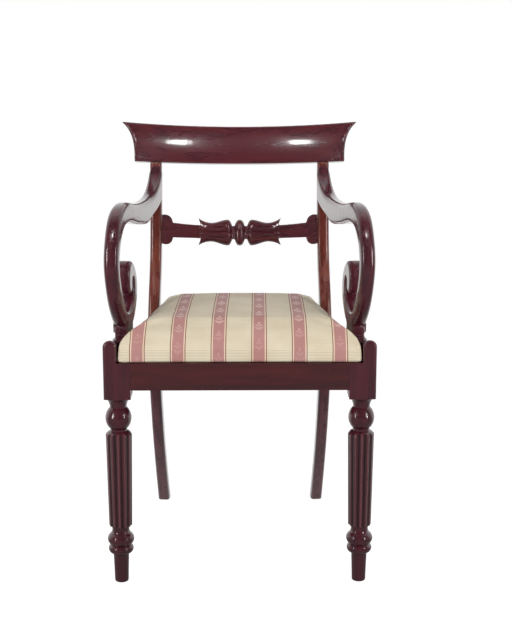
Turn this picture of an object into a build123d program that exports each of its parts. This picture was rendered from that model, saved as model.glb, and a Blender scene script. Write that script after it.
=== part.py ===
from build123d import *
import math
import os

# Open-arm dining chair in polished mahogany with a striped drop-in seat.
# Millimetres. X runs to the right of someone who faces the chair, Y runs back, Z runs up.
# Depths below are measured back from the front faces of the front leg blocks.

# Plan and main heights
FRONT_WIDTH = 512.0      # over the two front leg blocks
REAR_WIDTH = 392.0       # over the two rear legs at the seat
KNEE_DEPTH = 358.0       # front faces of the rear legs at the seat
LEDGE_HEIGHT = 441.0     # the level on which the seat rests
KNEE_DROP = 16.0         # where the rear legs come furthest forward, below the ledge
BACK_RISE = 325.0        # underside of the crest rail at the middle, above the ledge

# Front legs
BLOCK = 51.0             # square block above the turning
BLOCK_DROP = 18.0        # block below the front rail
EAR_WIDTH = 26.0         # outer part of the block that stands above the seat ledge
EAR_RISE = 44.5          # top of the ear above the ledge, at the front
EAR_FALL = 0.22          # slope of the ear's top towards the back
BLOCK_ROUND = 6.0        # rounding of the block's outer edges
CAP_RADIUS = 23.5        # disc under the block
CAP_HEIGHT = 2.0
NECK_RADIUS = 16.0       # hollow between the cap and the ball
NECK_DROP = 20.0         # below the block
BALL_DROP = 41.0         # middle of the ball below the block
COLLAR_HEIGHT = 78.0     # from the block to the reeded shaft
SHOULDER_HEIGHT = 12.0   # rounded top of the shaft
SHAFT_TOP_RADIUS = 25.0
SHAFT_FOOT_RADIUS = 22.0
SHAFT_FOOT = 115.0       # foot of the shaft above the floor
HOLLOW_RADIUS = 16.4     # hollow under the shaft
HOLLOW_HEIGHT = 16.0
RING_HEIGHT = 22.5       # upper ring, as wide as the block
LOWER_RING_RADIUS = 24.0
LOWER_RING_HEIGHT = 18.5
PEG_RADIUS = 15.0        # peg foot
TOE_RADIUS = 13.2
TOE_ROUND = 3.0
HOLLOW_LIP = 3.0         # upright part of the hollow, under the shaft
RING_STEP = 3.0          # rings' edges outside the hollow
REED_COUNT = 12
REED_DEPTH = 2.8

# Rear legs, each a sabre leg and a back stile cut from one plank
LEG_THICKNESS = 25.0
TOE_SLOPE = 0.08         # sideways drift of the plank for each millimetre of depth
FOOT_SWEEP = 126.0       # foot behind the knee, front faces
STILE_SWEEP = 72.0       # stile top behind the knee, front faces
FOOT_SECTION = 31.0      # front to back
KNEE_SECTION = 40.0
STILE_SECTION = 25.0
LEG_ROUND = 7.0

# Seat rails
RAIL_HEIGHT = 52.0       # below the ledge
FRONT_RAIL_THICKNESS = 25.0
FRONT_RAIL_SETBACK = 1.0
LIP_HEIGHT = 12.0        # side and rear rails above the ledge
LIP_THICKNESS = 26.0
REAR_LIP_THICKNESS = 14.0
LEDGE_WIDTH = 10.0
REAR_RAIL_SETBACK = 5.0  # behind the rear legs' front faces
LIP_ROUND = 6.0
RAIL_REVEAL = 1.0        # side rails inside the rear legs' outer faces
TENON_THICKNESS = 10.0
TENON_SHOULDER = 8.0     # from a tenon's edge to the rail's edge
FRONT_TENON = 24.0       # depth of the tenons in the front leg blocks
REAR_TENON = 11.0        # depth of the tenons in the rear legs
TENON_ROOT = 12.0        # how far a tenon is drawn back into its rail

# Arms
ARM_THICKNESS = 28.5
ARM_OUTSET = 3.0         # arm's outer face line outside the block's outer corner
ARM_SLOPE = 0.157
ARM_FOOT_DEPTH = 92.0    # front of the arm's foot
ARM_FOOT_LENGTH = 52.0
ARM_FOOT_HEIGHT = 18.0
ARM_FOOT_STEP = 4.0      # foot inside the arm's outer face
ARM_PAD_LENGTH = 91.0    # thicker base of the foot, which runs forward to the leg block
ARM_PAD_HEIGHT = 19.0
ARM_ROUND = 10.5         # edges of the arm's upper and outer side
ARM_UNDER_ROUND = 6.0    # edges of its underside and scroll
ARM_DRAWN_RISE = 294.0   # height that the arm's pattern is drawn for, pad to crest
ARM_DRAWN_REACH = 266.0  # length that it is drawn for, foot to rear leg
DOWEL_RADIUS = 5.0
DOWEL_HALF_LENGTH = 21.0
ARM_SCREW_DROP = 50.0    # below the crest rail
ARM_SCREW_LENGTH = 52.0
SCREW_RADIUS = 2.5
SCREW_HEAD_RADIUS = 4.5
SCREW_TIP_RADIUS = 0.4
PELLET_RADIUS = 5.5
PELLET_LENGTH = 7.0

# Crest rail
BOW_RADIUS = 580.0       # plan curve of the crest rail and the mid rail
CREST_RAKE = 13.0        # degrees
CREST_FACE = 81.0        # height along the rake at the middle
CREST_TIP_RISE = 3.0
CREST_HALF_LENGTH = 221.5
CREST_FLARE = 27.0       # each top corner beyond the bottom corner
CREST_THICKNESS = 25.0
CREST_ROLL = 10.0        # how far the face leans back at the top
CREST_BELLY = 5.5        # swell of the face
CREST_EDGE_ROUND = 4.0
STILE_TENON = 26.0

# Mid rail
MID_DROP = 140.0         # centre line below the crest rail
MID_RAKE = 10.0
MID_THICKNESS = 16.0
MID_BAR_HEIGHT = 29.0
MID_DIP = 7.5            # middle of the bar below its ends
LOBE_RADIUS = 15.5
LOBE_SPREAD = 16.5       # lobe centres above and below the centre line
LOBE_FLAT = 1.5          # flat ground off the lobes at the stiles
ORNAMENT_PROUD = 7.0     # carved part in front of the bar
ORNAMENT_BACK = 2.0
BEAD_HALF_WIDTH = 12.0
BEAD_HALF_HEIGHT = 28.0
BEAD_GAP = 3.5           # between the bead and the tulips
TULIP_LENGTH = 73.5
TULIP_BULB = 27.0        # half heights of the tulip
TULIP_WAIST = 20.0
TULIP_TIP = 28.5
CARVED_GROOVE = 2.4
MID_TENON = 10.0
MID_TENON_LIFT = 4.0     # tenon above the rail's centre line

# Corner blocks
BRACE_HEIGHT = 34.0
BRACE_DROP = 8.0         # below the ledge
BRACE_FRONT_REACH = 95.0 # along the front rail, from the leg block
BRACE_SIDE_REACH = 50.0  # along the side rail, from the leg block
BRACE_REAR_REACH = 72.0  # along the side and rear rails
BRACE_SCREW_LENGTH = 55.0
BRACE_SCREW_SPREAD = 22.0

# Drop-in seat
SEAT_CLEARANCE = 2.0     # to the lips and the ears
SEAT_FRONT_GAP = 3.0     # behind the face of the front rail
CROWN_RISE = 75.0        # top of the crown above the ledge
CROWN_FALL = 8.0         # crown's edge below its top
CROWN_RIDGE = 3.0        # crown that is planed off along the middle, from front to back
FRONT_WALL = 30.0        # upright part of the front, above the ledge
SIDE_WALL = 38.0         # the same at the sides and the rear
SIDE_SHOULDER = 32.0     # rounded part between a side and the crown, across the seat
FRONT_SHOULDER = 60.0    # the same along the seat
SHOULDER_BULGE = 0.66    # fullness of the shoulders
SEAT_DRAW_IN = 2.5       # sides drawn in between the corners
SEAT_CORNER = 9.0
COVER_THICKNESS = 1.2
LAP = 27.0               # cover turned under the frame
FRONT_LAP = 43.0
FRAME_WIDTH = 50.0       # seat frame rails
FRAME_THICKNESS = 20.0
FRAME_DOWEL_RADIUS = 4.0
FRAME_DOWEL_LENGTH = 44.0
STRAP_WIDTH = 50.0
STRAP_THICKNESS = 1.5
STRAP_INSET = 9.0
LENGTHWISE_STRAPS = 4
CROSSWISE_STRAPS = 3
STRAP_PITCH = 78.0
CROSS_PITCH = 112.0
HESSIAN_THICKNESS = 0.8
SOFT_CLEARANCE = 0.3
LINING_THICKNESS = 0.6
LINING_INSET = 4.0       # inside the ledges
TACK_INSET = 5.0         # inside the lining's edge
TACK_SPACING = 46.0
TACK_HEAD_RADIUS = 4.0
TACK_HEAD = 1.0
TACK_SHANK_RADIUS = 0.9
TACK_LENGTH = 8.0

# Blanks
OVERRUN = 1.0            # how far overlapping forms and cuts run past a face
MARGIN = 30.0            # how far blanks run past the outlines sawn from them

# Places that follow from the sizes above
HALF_FRONT = FRONT_WIDTH / 2
KNEE_HEIGHT = LEDGE_HEIGHT - KNEE_DROP
CREST_HEIGHT = LEDGE_HEIGHT + BACK_RISE
MID_HEIGHT = CREST_HEIGHT - MID_DROP
RAIL_BOTTOM = LEDGE_HEIGHT - RAIL_HEIGHT
LIP_TOP = LEDGE_HEIGHT + LIP_HEIGHT
BLOCK_BOTTOM = RAIL_BOTTOM - BLOCK_DROP
SHAFT_TOP = BLOCK_BOTTOM - COLLAR_HEIGHT
LEG_AXIS_X = HALF_FRONT - BLOCK / 2
LEG_AXIS_Y = BLOCK / 2
SIDE_SLOPE = (HALF_FRONT - REAR_WIDTH / 2 + RAIL_REVEAL) / KNEE_DEPTH
FRONT_RAIL_BACK = FRONT_RAIL_SETBACK + FRONT_RAIL_THICKNESS
REAR_RAIL_FRONT = KNEE_DEPTH + REAR_RAIL_SETBACK
REAR_LIP_FRONT = REAR_RAIL_FRONT + LEDGE_WIDTH
REAR_RAIL_BACK = REAR_LIP_FRONT + REAR_LIP_THICKNESS
REED_SPACE = math.pi / REED_COUNT
TOE = math.atan(TOE_SLOPE)
OVERALL_DEPTH = KNEE_DEPTH + (FOOT_SWEEP + FOOT_SECTION) * math.cos(TOE) - LEG_ROUND * math.sin(TOE)
UP = Vector(0, 0, 1)


def box(x_range, y_range, z_range):
    size = [high - low for low, high in (x_range, y_range, z_range)]
    middle = [(high + low) / 2 for low, high in (x_range, y_range, z_range)]
    return Pos(*middle) * Box(*size)


def mix(first, second, share):
    return first + (second - first) * share


def other_side(shape):
    return mirror(shape, about=Plane.YZ)


def both_sides(shape):
    return [shape, other_side(shape)]


def run_direction(slope):
    return Vector(-slope, 1, 0).normalized()


def upright_plane(x, y, slope):
    """Upright plane whose first axis runs back and inwards, and whose normal points out."""
    run = run_direction(slope)
    return Plane(origin=(x, y, 0), x_dir=run, z_dir=run.cross(UP))


def cross_plane(x, y, slope):
    """Upright plane square to a slanting rail; its first axis points inwards."""
    run = run_direction(slope)
    return Plane(origin=(x, y, 0), x_dir=run.cross(UP) * -1, z_dir=run)


def closed_face(*lines):
    return Face(Wire([edge for line in lines for edge in line.edges()]))


def in_spans(curve, count):
    """A long curve as shorter tangent ones."""
    return [curve.trim(n / count, (n + 1) / count) for n in range(count)]


def long_edges(plank, thickness):
    """Curved edges of a sawn plank, on both of its faces."""
    curved = plank.edges().filter_by(GeomType.BSPLINE)
    return [edge for edge in curved if edge.length > thickness + OVERRUN]


def slab(plane, outline, near, far):
    """An outline drawn on a plane, extruded from one distance along the plane's normal to another."""
    return extrude(plane.offset(near) * outline, amount=far - near, dir=plane.z_dir)


# Front leg: square block with a rounded ear, turned ball and rings, reeded shaft and peg foot

def reed_radius(shaft_radius):
    valley = shaft_radius - REED_DEPTH
    reach = valley * math.cos(REED_SPACE)
    return (valley ** 2 + shaft_radius ** 2 - 2 * shaft_radius * reach) / (2 * (shaft_radius - reach))


def reeded_shaft():
    """Tapered bundle of reeds that the turned shaft is carved to."""
    taper = (SHAFT_TOP_RADIUS - SHAFT_FOOT_RADIUS) / (SHAFT_TOP - SHAFT_FOOT)
    top = SHAFT_TOP + SHOULDER_HEIGHT + 2 * OVERRUN
    ends = ((SHAFT_FOOT, SHAFT_FOOT_RADIUS), (top, SHAFT_TOP_RADIUS + taper * (top - SHAFT_TOP)))
    reed_ends = []
    core_ends = []
    for height, radius in ends:
        small = reed_radius(radius)
        reed_ends.append(Pos(0, small - radius, height) * Circle(small))
        core_ends.append(Pos(0, 0, height) * Circle(radius - REED_DEPTH))
    reed = loft(reed_ends, ruled=True)
    bundle = loft(core_ends, ruled=True)
    return bundle + [Rot(0, 0, 360 * n / REED_COUNT) * reed for n in range(REED_COUNT)]


def turned(*lines):
    """Solid of revolution about the leg's axis; the lines run from top to foot."""
    top = lines[0] @ 0
    foot = lines[-1] @ 1
    closing = Polyline(foot, (0, foot.Y), (0, top.Y), top)
    return revolve(Plane.XZ * closed_face(*lines, closing), Axis.Z)


def front_leg():
    cap = BLOCK_BOTTOM - CAP_HEIGHT
    neck = BLOCK_BOTTOM - NECK_DROP
    ball = BLOCK_BOTTOM - BALL_DROP
    shoulder = SHAFT_TOP + SHOULDER_HEIGHT
    waist = NECK_RADIUS
    collar = turned(
        Line((CAP_RADIUS, BLOCK_BOTTOM + CAP_HEIGHT), (CAP_RADIUS, cap)),
        ThreePointArc((CAP_RADIUS, cap), (mix(CAP_RADIUS, waist, 0.7), mix(cap, neck, 0.42)), (waist, neck)),
        ThreePointArc((waist, neck), (SHAFT_TOP_RADIUS, ball), (waist, 2 * ball - neck)),
        Line((waist, 2 * ball - neck), (waist, shoulder)),
    )
    # The turned blank stands just clear of the reeds below the shoulder.
    blank_top = SHAFT_TOP_RADIUS + OVERRUN
    blank_foot = SHAFT_FOOT_RADIUS + OVERRUN
    plug = waist - RING_STEP
    blank = turned(
        Polyline((plug, shoulder + OVERRUN), (plug, shoulder), (waist, shoulder)),
        ThreePointArc(
            (waist, shoulder),
            (mix(waist, blank_top, 0.71), mix(shoulder, SHAFT_TOP, 0.38)),
            (blank_top, SHAFT_TOP),
        ),
        Line((blank_top, SHAFT_TOP), (blank_foot, SHAFT_FOOT - OVERRUN)),
    )
    ring_top = SHAFT_FOOT - HOLLOW_HEIGHT
    ring_foot = ring_top - RING_HEIGHT
    lower_foot = ring_foot - LOWER_RING_HEIGHT
    lip = SHAFT_FOOT - HOLLOW_LIP
    ring_edge = HOLLOW_RADIUS + RING_STEP
    lip_edge = mix(HOLLOW_RADIUS, ring_edge, 0.33)
    foot = turned(
        Line((lip_edge, SHAFT_FOOT + OVERRUN), (lip_edge, lip)),
        ThreePointArc((lip_edge, lip), (HOLLOW_RADIUS, mix(lip, ring_top, 0.46)), (ring_edge, ring_top)),
        ThreePointArc(
            (ring_edge, ring_top),
            (BLOCK / 2, mix(ring_top, ring_foot, 0.5)),
            (ring_edge, ring_foot),
        ),
        ThreePointArc(
            (ring_edge, ring_foot),
            (LOWER_RING_RADIUS, mix(ring_foot, lower_foot, 0.46)),
            (PEG_RADIUS, lower_foot),
        ),
        Line((PEG_RADIUS, lower_foot), (TOE_RADIUS, TOE_ROUND)),
        ThreePointArc(
            (TOE_RADIUS, TOE_ROUND),
            (TOE_RADIUS - 0.3 * TOE_ROUND, 0.3 * TOE_ROUND),
            (TOE_RADIUS - TOE_ROUND, 0),
        ),
    )
    turning = collar + (blank & reeded_shaft()) + foot
    inner = HALF_FRONT - BLOCK
    ear_inner = HALF_FRONT - EAR_WIDTH
    spring = LEDGE_HEIGHT + EAR_RISE - EAR_WIDTH / 2
    body = box((inner, HALF_FRONT), (0, BLOCK), (BLOCK_BOTTOM, LEDGE_HEIGHT))
    arch = closed_face(
        Polyline(
            (ear_inner, spring),
            (ear_inner, RAIL_BOTTOM),
            (HALF_FRONT, RAIL_BOTTOM),
            (HALF_FRONT, spring),
        ),
        ThreePointArc(
            (HALF_FRONT, spring),
            (HALF_FRONT - EAR_WIDTH / 2, LEDGE_HEIGHT + EAR_RISE),
            (ear_inner, spring),
        ),
    )
    fall = Vector(0, 1, -EAR_FALL)
    ear = extrude(Plane.XZ * arch, amount=BLOCK * fall.length, dir=fall)
    block = body + ear
    outer_edges = [
        edge
        for edge in block.edges().filter_by(Axis.Z)
        if abs(edge.center().X - HALF_FRONT) < 0.01
    ]
    arch_edge = block.edges().filter_by(GeomType.CIRCLE).sort_by(Axis.Y)[0]
    block = fillet(outer_edges + [arch_edge], BLOCK_ROUND)
    return block + Pos(LEG_AXIS_X, LEG_AXIS_Y, 0) * turning


# Rear leg: sabre leg and back stile, sawn from one plank and rounded along its edges

LEG_PLANE = upright_plane(REAR_WIDTH / 2, KNEE_DEPTH, TOE_SLOPE)


def leg_stations():
    """Sweep of the front edge behind the knee, height, and section from front to back."""
    above = CREST_HEIGHT - KNEE_HEIGHT
    return (
        (FOOT_SWEEP, 0, FOOT_SECTION),
        (0.5 * FOOT_SWEEP, 0.33 * KNEE_HEIGHT, mix(FOOT_SECTION, KNEE_SECTION, 0.2)),
        (0.13 * FOOT_SWEEP, 0.67 * KNEE_HEIGHT, mix(FOOT_SECTION, KNEE_SECTION, 0.6)),
        (0, KNEE_HEIGHT, KNEE_SECTION),
        (0.27 * STILE_SWEEP, KNEE_HEIGHT + 0.21 * above, mix(KNEE_SECTION, STILE_SECTION, 0.5)),
        (0.63 * STILE_SWEEP, KNEE_HEIGHT + 0.4 * above, mix(KNEE_SECTION, STILE_SECTION, 0.85)),
        (0.86 * STILE_SWEEP, KNEE_HEIGHT + 0.65 * above, STILE_SECTION),
        (1.02 * STILE_SWEEP, CREST_HEIGHT + 0.1 * above, STILE_SECTION),
    )


LEG_FRONT = Spline(*[(sweep, height) for sweep, height, section in leg_stations()])
LEG_BACK = Spline(*[(sweep + section, height) for sweep, height, section in leg_stations()])
LEG_OUTLINE = closed_face(
    *in_spans(LEG_FRONT, 4),
    Line(LEG_FRONT @ 1, LEG_BACK @ 1),
    *in_spans(LEG_BACK, 4),
    Line(LEG_BACK @ 0, LEG_FRONT @ 0),
)


def sweep_at(line, height):
    """Distance behind the knee of a leg edge at a height."""
    low = 0.0
    high = 1.0
    for _ in range(40):
        middle = (low + high) / 2
        if (line @ middle).Y < height:
            low = middle
        else:
            high = middle
    return (line @ low).X


def leg_point(sweep, height, inward=LEG_THICKNESS / 2):
    return LEG_PLANE.from_local_coords(Vector(sweep, height, -inward))


def leg_slab(outward, inward):
    """The leg's outline with sharp edges, from outside its outer face to inside its inner face."""
    return slab(LEG_PLANE, LEG_OUTLINE, -LEG_THICKNESS - inward, outward)


def beyond_leg():
    """All the space outside the right leg's inner face."""
    return slab(LEG_PLANE, Rectangle(4 * CREST_HEIGHT, 4 * CREST_HEIGHT), -LEG_THICKNESS, FRONT_WIDTH)


def behind_leg():
    """All the space behind the right leg's front face, for pieces scribed to it."""
    outline = closed_face(
        *in_spans(LEG_FRONT, 4),
        Polyline(LEG_FRONT @ 1, (FRONT_WIDTH, (LEG_FRONT @ 1).Y), (FRONT_WIDTH, 0), LEG_FRONT @ 0),
    )
    return slab(LEG_PLANE, outline, -3 * LEG_THICKNESS, 2 * LEG_THICKNESS)


def rounded_leg():
    plank = leg_slab(0, 0)
    return fillet(long_edges(plank, LEG_THICKNESS), LEG_ROUND)


# Crest rail and mid rail, bowed in plan and raked

def bow(x):
    return BOW_RADIUS - math.sqrt(BOW_RADIUS ** 2 - x ** 2)


def raked_plane(height, rake, behind_stile):
    """Plane of a back rail: its front face meets the stiles this far behind their front faces."""
    tilt = math.radians(rake)
    stile = leg_point(sweep_at(LEG_FRONT, height), height)
    depth = stile.Y + behind_stile + bow(stile.X) * math.cos(tilt)
    return Plane(origin=(0, depth, height), x_dir=(1, 0, 0), z_dir=(0, math.sin(tilt), math.cos(tilt)))


def bowed(section, half_length):
    """A section swept along the bow, with its front face through the origin."""
    half_angle = math.degrees(math.asin(half_length / BOW_RADIUS))
    start = Pos(0, -BOW_RADIUS, 0) * Rot(0, 0, -half_angle) * Pos(0, BOW_RADIUS, 0)
    axis = Axis((0, -BOW_RADIUS, 0), (0, 0, 1))
    return revolve(start * (Plane.YZ * section), axis, revolution_arc=2 * half_angle)


def sawn(outline):
    """A front view outline as a thick block."""
    return extrude(Plane.XZ * outline, amount=CREST_HALF_LENGTH, both=True)


CREST_PLANE = raked_plane(CREST_HEIGHT, CREST_RAKE, 0)
MID_PLANE = raked_plane(MID_HEIGHT, MID_RAKE, (STILE_SECTION - MID_THICKNESS) / 2)


def crest_blank():
    top = 1.1 * CREST_FACE
    section = closed_face(
        ThreePointArc((0, 0), (CREST_ROLL / 2 - CREST_BELLY, CREST_FACE / 2), (CREST_ROLL * 1.25, top)),
        Polyline((CREST_ROLL * 1.25, top), (CREST_THICKNESS, top), (CREST_THICKNESS, 0), (0, 0)),
    )
    tip = CREST_HALF_LENGTH + CREST_FLARE
    tip_height = CREST_FACE + CREST_TIP_RISE
    right_end = [
        (CREST_HALF_LENGTH, 0),
        (CREST_HALF_LENGTH + 0.01 * CREST_FLARE, 0.3 * tip_height),
        (CREST_HALF_LENGTH + 0.2 * CREST_FLARE, 0.62 * tip_height),
        (tip, tip_height),
    ]
    left_end = [(-x, z) for x, z in reversed(right_end)]
    outline = closed_face(
        Line(left_end[-1], right_end[0]),
        Spline(*right_end),
        ThreePointArc(right_end[-1], (0, CREST_FACE), left_end[0]),
        Spline(*left_end),
    )
    blank = bowed(section, tip + MARGIN) & sawn(outline)
    long_edges = blank.edges().filter_by(GeomType.BSPLINE)
    return CREST_PLANE * fillet(long_edges, CREST_EDGE_ROUND)


def above_crest_line():
    reach = (-FRONT_WIDTH, FRONT_WIDTH)
    return CREST_PLANE * box(reach, reach, (0, CREST_HALF_LENGTH))


def stile_tenon():
    sweep = sweep_at(LEG_FRONT, CREST_HEIGHT) + 0.4 * STILE_SECTION
    profile = Pos(sweep + TENON_THICKNESS / 2, CREST_HEIGHT) * Rectangle(TENON_THICKNESS, 2 * STILE_TENON)
    side = (LEG_THICKNESS - TENON_THICKNESS) / 2
    return slab(LEG_PLANE, profile, -side - TENON_THICKNESS, -side)


def tulip():
    """Outline of the right-hand carved tulip, from the bead to its flared tips."""
    start = BEAD_HALF_WIDTH + BEAD_GAP
    end = start + TULIP_LENGTH
    upper = [
        (start, 0.45 * TULIP_BULB),
        (start + 0.16 * TULIP_LENGTH, TULIP_BULB),
        (start + 0.62 * TULIP_LENGTH, TULIP_WAIST),
        (end, TULIP_TIP),
    ]
    lower = [(x, -z) for x, z in reversed(upper)]
    notch = start + 0.9 * TULIP_LENGTH
    return closed_face(
        Spline(*upper),
        Polyline(upper[-1], (notch, MID_BAR_HEIGHT / 2), (notch, -MID_BAR_HEIGHT / 2), lower[0]),
        Spline(*lower),
        Line(lower[-1], upper[0]),
    )


def mid_rail_blank(end):
    """Bar with lobed ends, a bead and two tulips, all carved from one piece."""
    spread = LOBE_SPREAD + LOBE_RADIUS
    lobe_x = end - 0.6 * LOBE_RADIUS
    bar_end = end + LOBE_RADIUS / 2
    edge = MID_BAR_HEIGHT / 2
    bars = closed_face(
        ThreePointArc((-bar_end, edge), (0, edge - MID_DIP), (bar_end, edge)),
        Line((bar_end, edge), (bar_end, -edge)),
        ThreePointArc((bar_end, -edge), (0, -edge - MID_DIP), (-bar_end, -edge)),
        Line((-bar_end, -edge), (-bar_end, edge)),
    )
    for side in (-1, 1):
        bars += Pos(side * (lobe_x + LOBE_RADIUS / 2), 0) * Rectangle(LOBE_RADIUS, 2 * (spread - LOBE_FLAT))
        for level in (-LOBE_SPREAD, LOBE_SPREAD):
            bars += Pos(side * lobe_x, level) * Circle(LOBE_RADIUS)
    right = tulip()
    lowered = Pos(0, -0.9 * MID_DIP)
    bead = Ellipse(BEAD_HALF_WIDTH, BEAD_HALF_HEIGHT)
    ornament = lowered * (bead + [right, mirror(right, about=Plane.YZ)])
    reach = end + MARGIN
    tall = 3 * spread
    bar_section = Pos(MID_THICKNESS / 2, 0) * Rectangle(MID_THICKNESS, tall)
    ornament_depth = ORNAMENT_PROUD + MID_THICKNESS + ORNAMENT_BACK
    carved_section = Pos(ornament_depth / 2 - ORNAMENT_PROUD, 0) * Rectangle(ornament_depth, tall)
    bar = bowed(bar_section, reach) & sawn(bars)
    carving = bowed(carved_section, reach) & sawn(ornament)
    groove_section = Pos(-ORNAMENT_PROUD, 0) * Rectangle(2 * CARVED_GROOVE, tall)
    grooves = Sketch()
    middle = BEAD_HALF_WIDTH + BEAD_GAP + 0.5 * TULIP_LENGTH
    for side in (-1, 1):
        long_x = side * (middle + 0.05 * TULIP_LENGTH)
        short_x = side * (middle + 0.08 * TULIP_LENGTH)
        grooves += Pos(long_x, 0) * Rectangle(TULIP_LENGTH, CARVED_GROOVE)
        for level in (-0.55 * TULIP_WAIST, 0.55 * TULIP_WAIST):
            grooves += Pos(short_x, level) * Rectangle(0.7 * TULIP_LENGTH, CARVED_GROOVE)
    carving -= bowed(groove_section, reach) & sawn(lowered * grooves)
    return MID_PLANE * (bar + carving)


def mid_tenon():
    sweep = sweep_at(LEG_FRONT, MID_HEIGHT)
    inner = leg_point(sweep, MID_HEIGHT, LEG_THICKNESS)
    centre = Pos(inner.X, inner.Y + STILE_SECTION / 2, MID_HEIGHT + MID_TENON_LIFT)
    return centre * Box(2 * MID_TENON, 0.5 * MID_THICKNESS, MID_BAR_HEIGHT)


# Seat rails

def rail_x(depth, inward):
    """X of a line inside the right side rail's outer face."""
    return HALF_FRONT - SIDE_SLOPE * depth - inward * math.hypot(1, SIDE_SLOPE)


def ledge_x(depth):
    return rail_x(depth, LIP_THICKNESS + LEDGE_WIDTH)


TENON_LEVELS = (RAIL_BOTTOM + TENON_SHOULDER, LEDGE_HEIGHT - TENON_SHOULDER)
REAR_TENON_FRONT = REAR_LIP_FRONT + (REAR_LIP_THICKNESS - TENON_THICKNESS) / 2


def front_rail_tenon():
    middle = FRONT_RAIL_SETBACK + FRONT_RAIL_THICKNESS / 2
    depths = (middle - TENON_THICKNESS / 2, middle + TENON_THICKNESS / 2)
    inner = HALF_FRONT - BLOCK
    return box((inner - TENON_ROOT, inner + FRONT_TENON), depths, TENON_LEVELS)


def front_rail():
    inner = HALF_FRONT - BLOCK
    return box((-inner, inner), (FRONT_RAIL_SETBACK, FRONT_RAIL_BACK), (RAIL_BOTTOM, LEDGE_HEIGHT))


def side_rail_tenons():
    """Front and rear tenons of the right side rail."""
    plane = cross_plane(HALF_FRONT, 0, SIDE_SLOPE)
    low, high = TENON_LEVELS
    profile = Pos(LIP_THICKNESS / 2, (low + high) / 2) * Rectangle(TENON_THICKNESS, high - low)
    stretch = math.hypot(1, SIDE_SLOPE)
    front = (BLOCK - FRONT_TENON) * stretch
    rear = (KNEE_DEPTH + REAR_TENON) * stretch
    front_tenon = slab(plane, profile, front, front + FRONT_TENON * stretch + TENON_ROOT)
    rear_tenon = slab(plane, profile, rear - REAR_TENON * stretch - TENON_ROOT, rear)
    return front_tenon, rear_tenon


def side_rail():
    """Right side rail: rounded lip outside, seat ledge inside, scribed to the legs."""
    plane = cross_plane(HALF_FRONT, 0, SIDE_SLOPE)
    section = Polygon(
        (0, RAIL_BOTTOM),
        (LIP_THICKNESS + LEDGE_WIDTH, RAIL_BOTTOM),
        (LIP_THICKNESS + LEDGE_WIDTH, LEDGE_HEIGHT),
        (LIP_THICKNESS, LEDGE_HEIGHT),
        (LIP_THICKNESS, LIP_TOP),
        (0, LIP_TOP),
        align=None,
    )
    section = fillet(section.vertices().group_by(Axis.Y)[-1], LIP_ROUND)
    rail = slab(plane, section, 0, 1.2 * REAR_RAIL_FRONT)
    rail &= box((0, HALF_FRONT), (BLOCK, REAR_RAIL_FRONT), (0, CREST_HEIGHT))
    return rail - leg_slab(LEG_THICKNESS, 0)


def rear_rail_tenon():
    inner = leg_point(REAR_TENON_FRONT - KNEE_DEPTH, LEDGE_HEIGHT, LEG_THICKNESS).X
    depths = (REAR_TENON_FRONT, REAR_TENON_FRONT + TENON_THICKNESS)
    return box((inner - TENON_ROOT, inner + REAR_TENON), depths, TENON_LEVELS)


def rear_rail():
    reach = (-REAR_WIDTH / 2, REAR_WIDTH / 2)
    ledge = box(reach, (REAR_RAIL_FRONT, REAR_LIP_FRONT), (RAIL_BOTTOM, LEDGE_HEIGHT))
    lip = box(reach, (REAR_LIP_FRONT, REAR_RAIL_BACK), (RAIL_BOTTOM, LIP_TOP))
    top_edges = lip.edges().filter_by(Axis.X).group_by(Axis.Z)[-1]
    rail = ledge + fillet(top_edges, LIP_ROUND * REAR_LIP_THICKNESS / LIP_THICKNESS)
    return rail - both_sides(leg_slab(LEG_THICKNESS, 0))


# Arms: scroll-sawn planks with rounded edges

ARM_PLANE = upright_plane(HALF_FRONT + ARM_OUTSET, 0, ARM_SLOPE)


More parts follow.
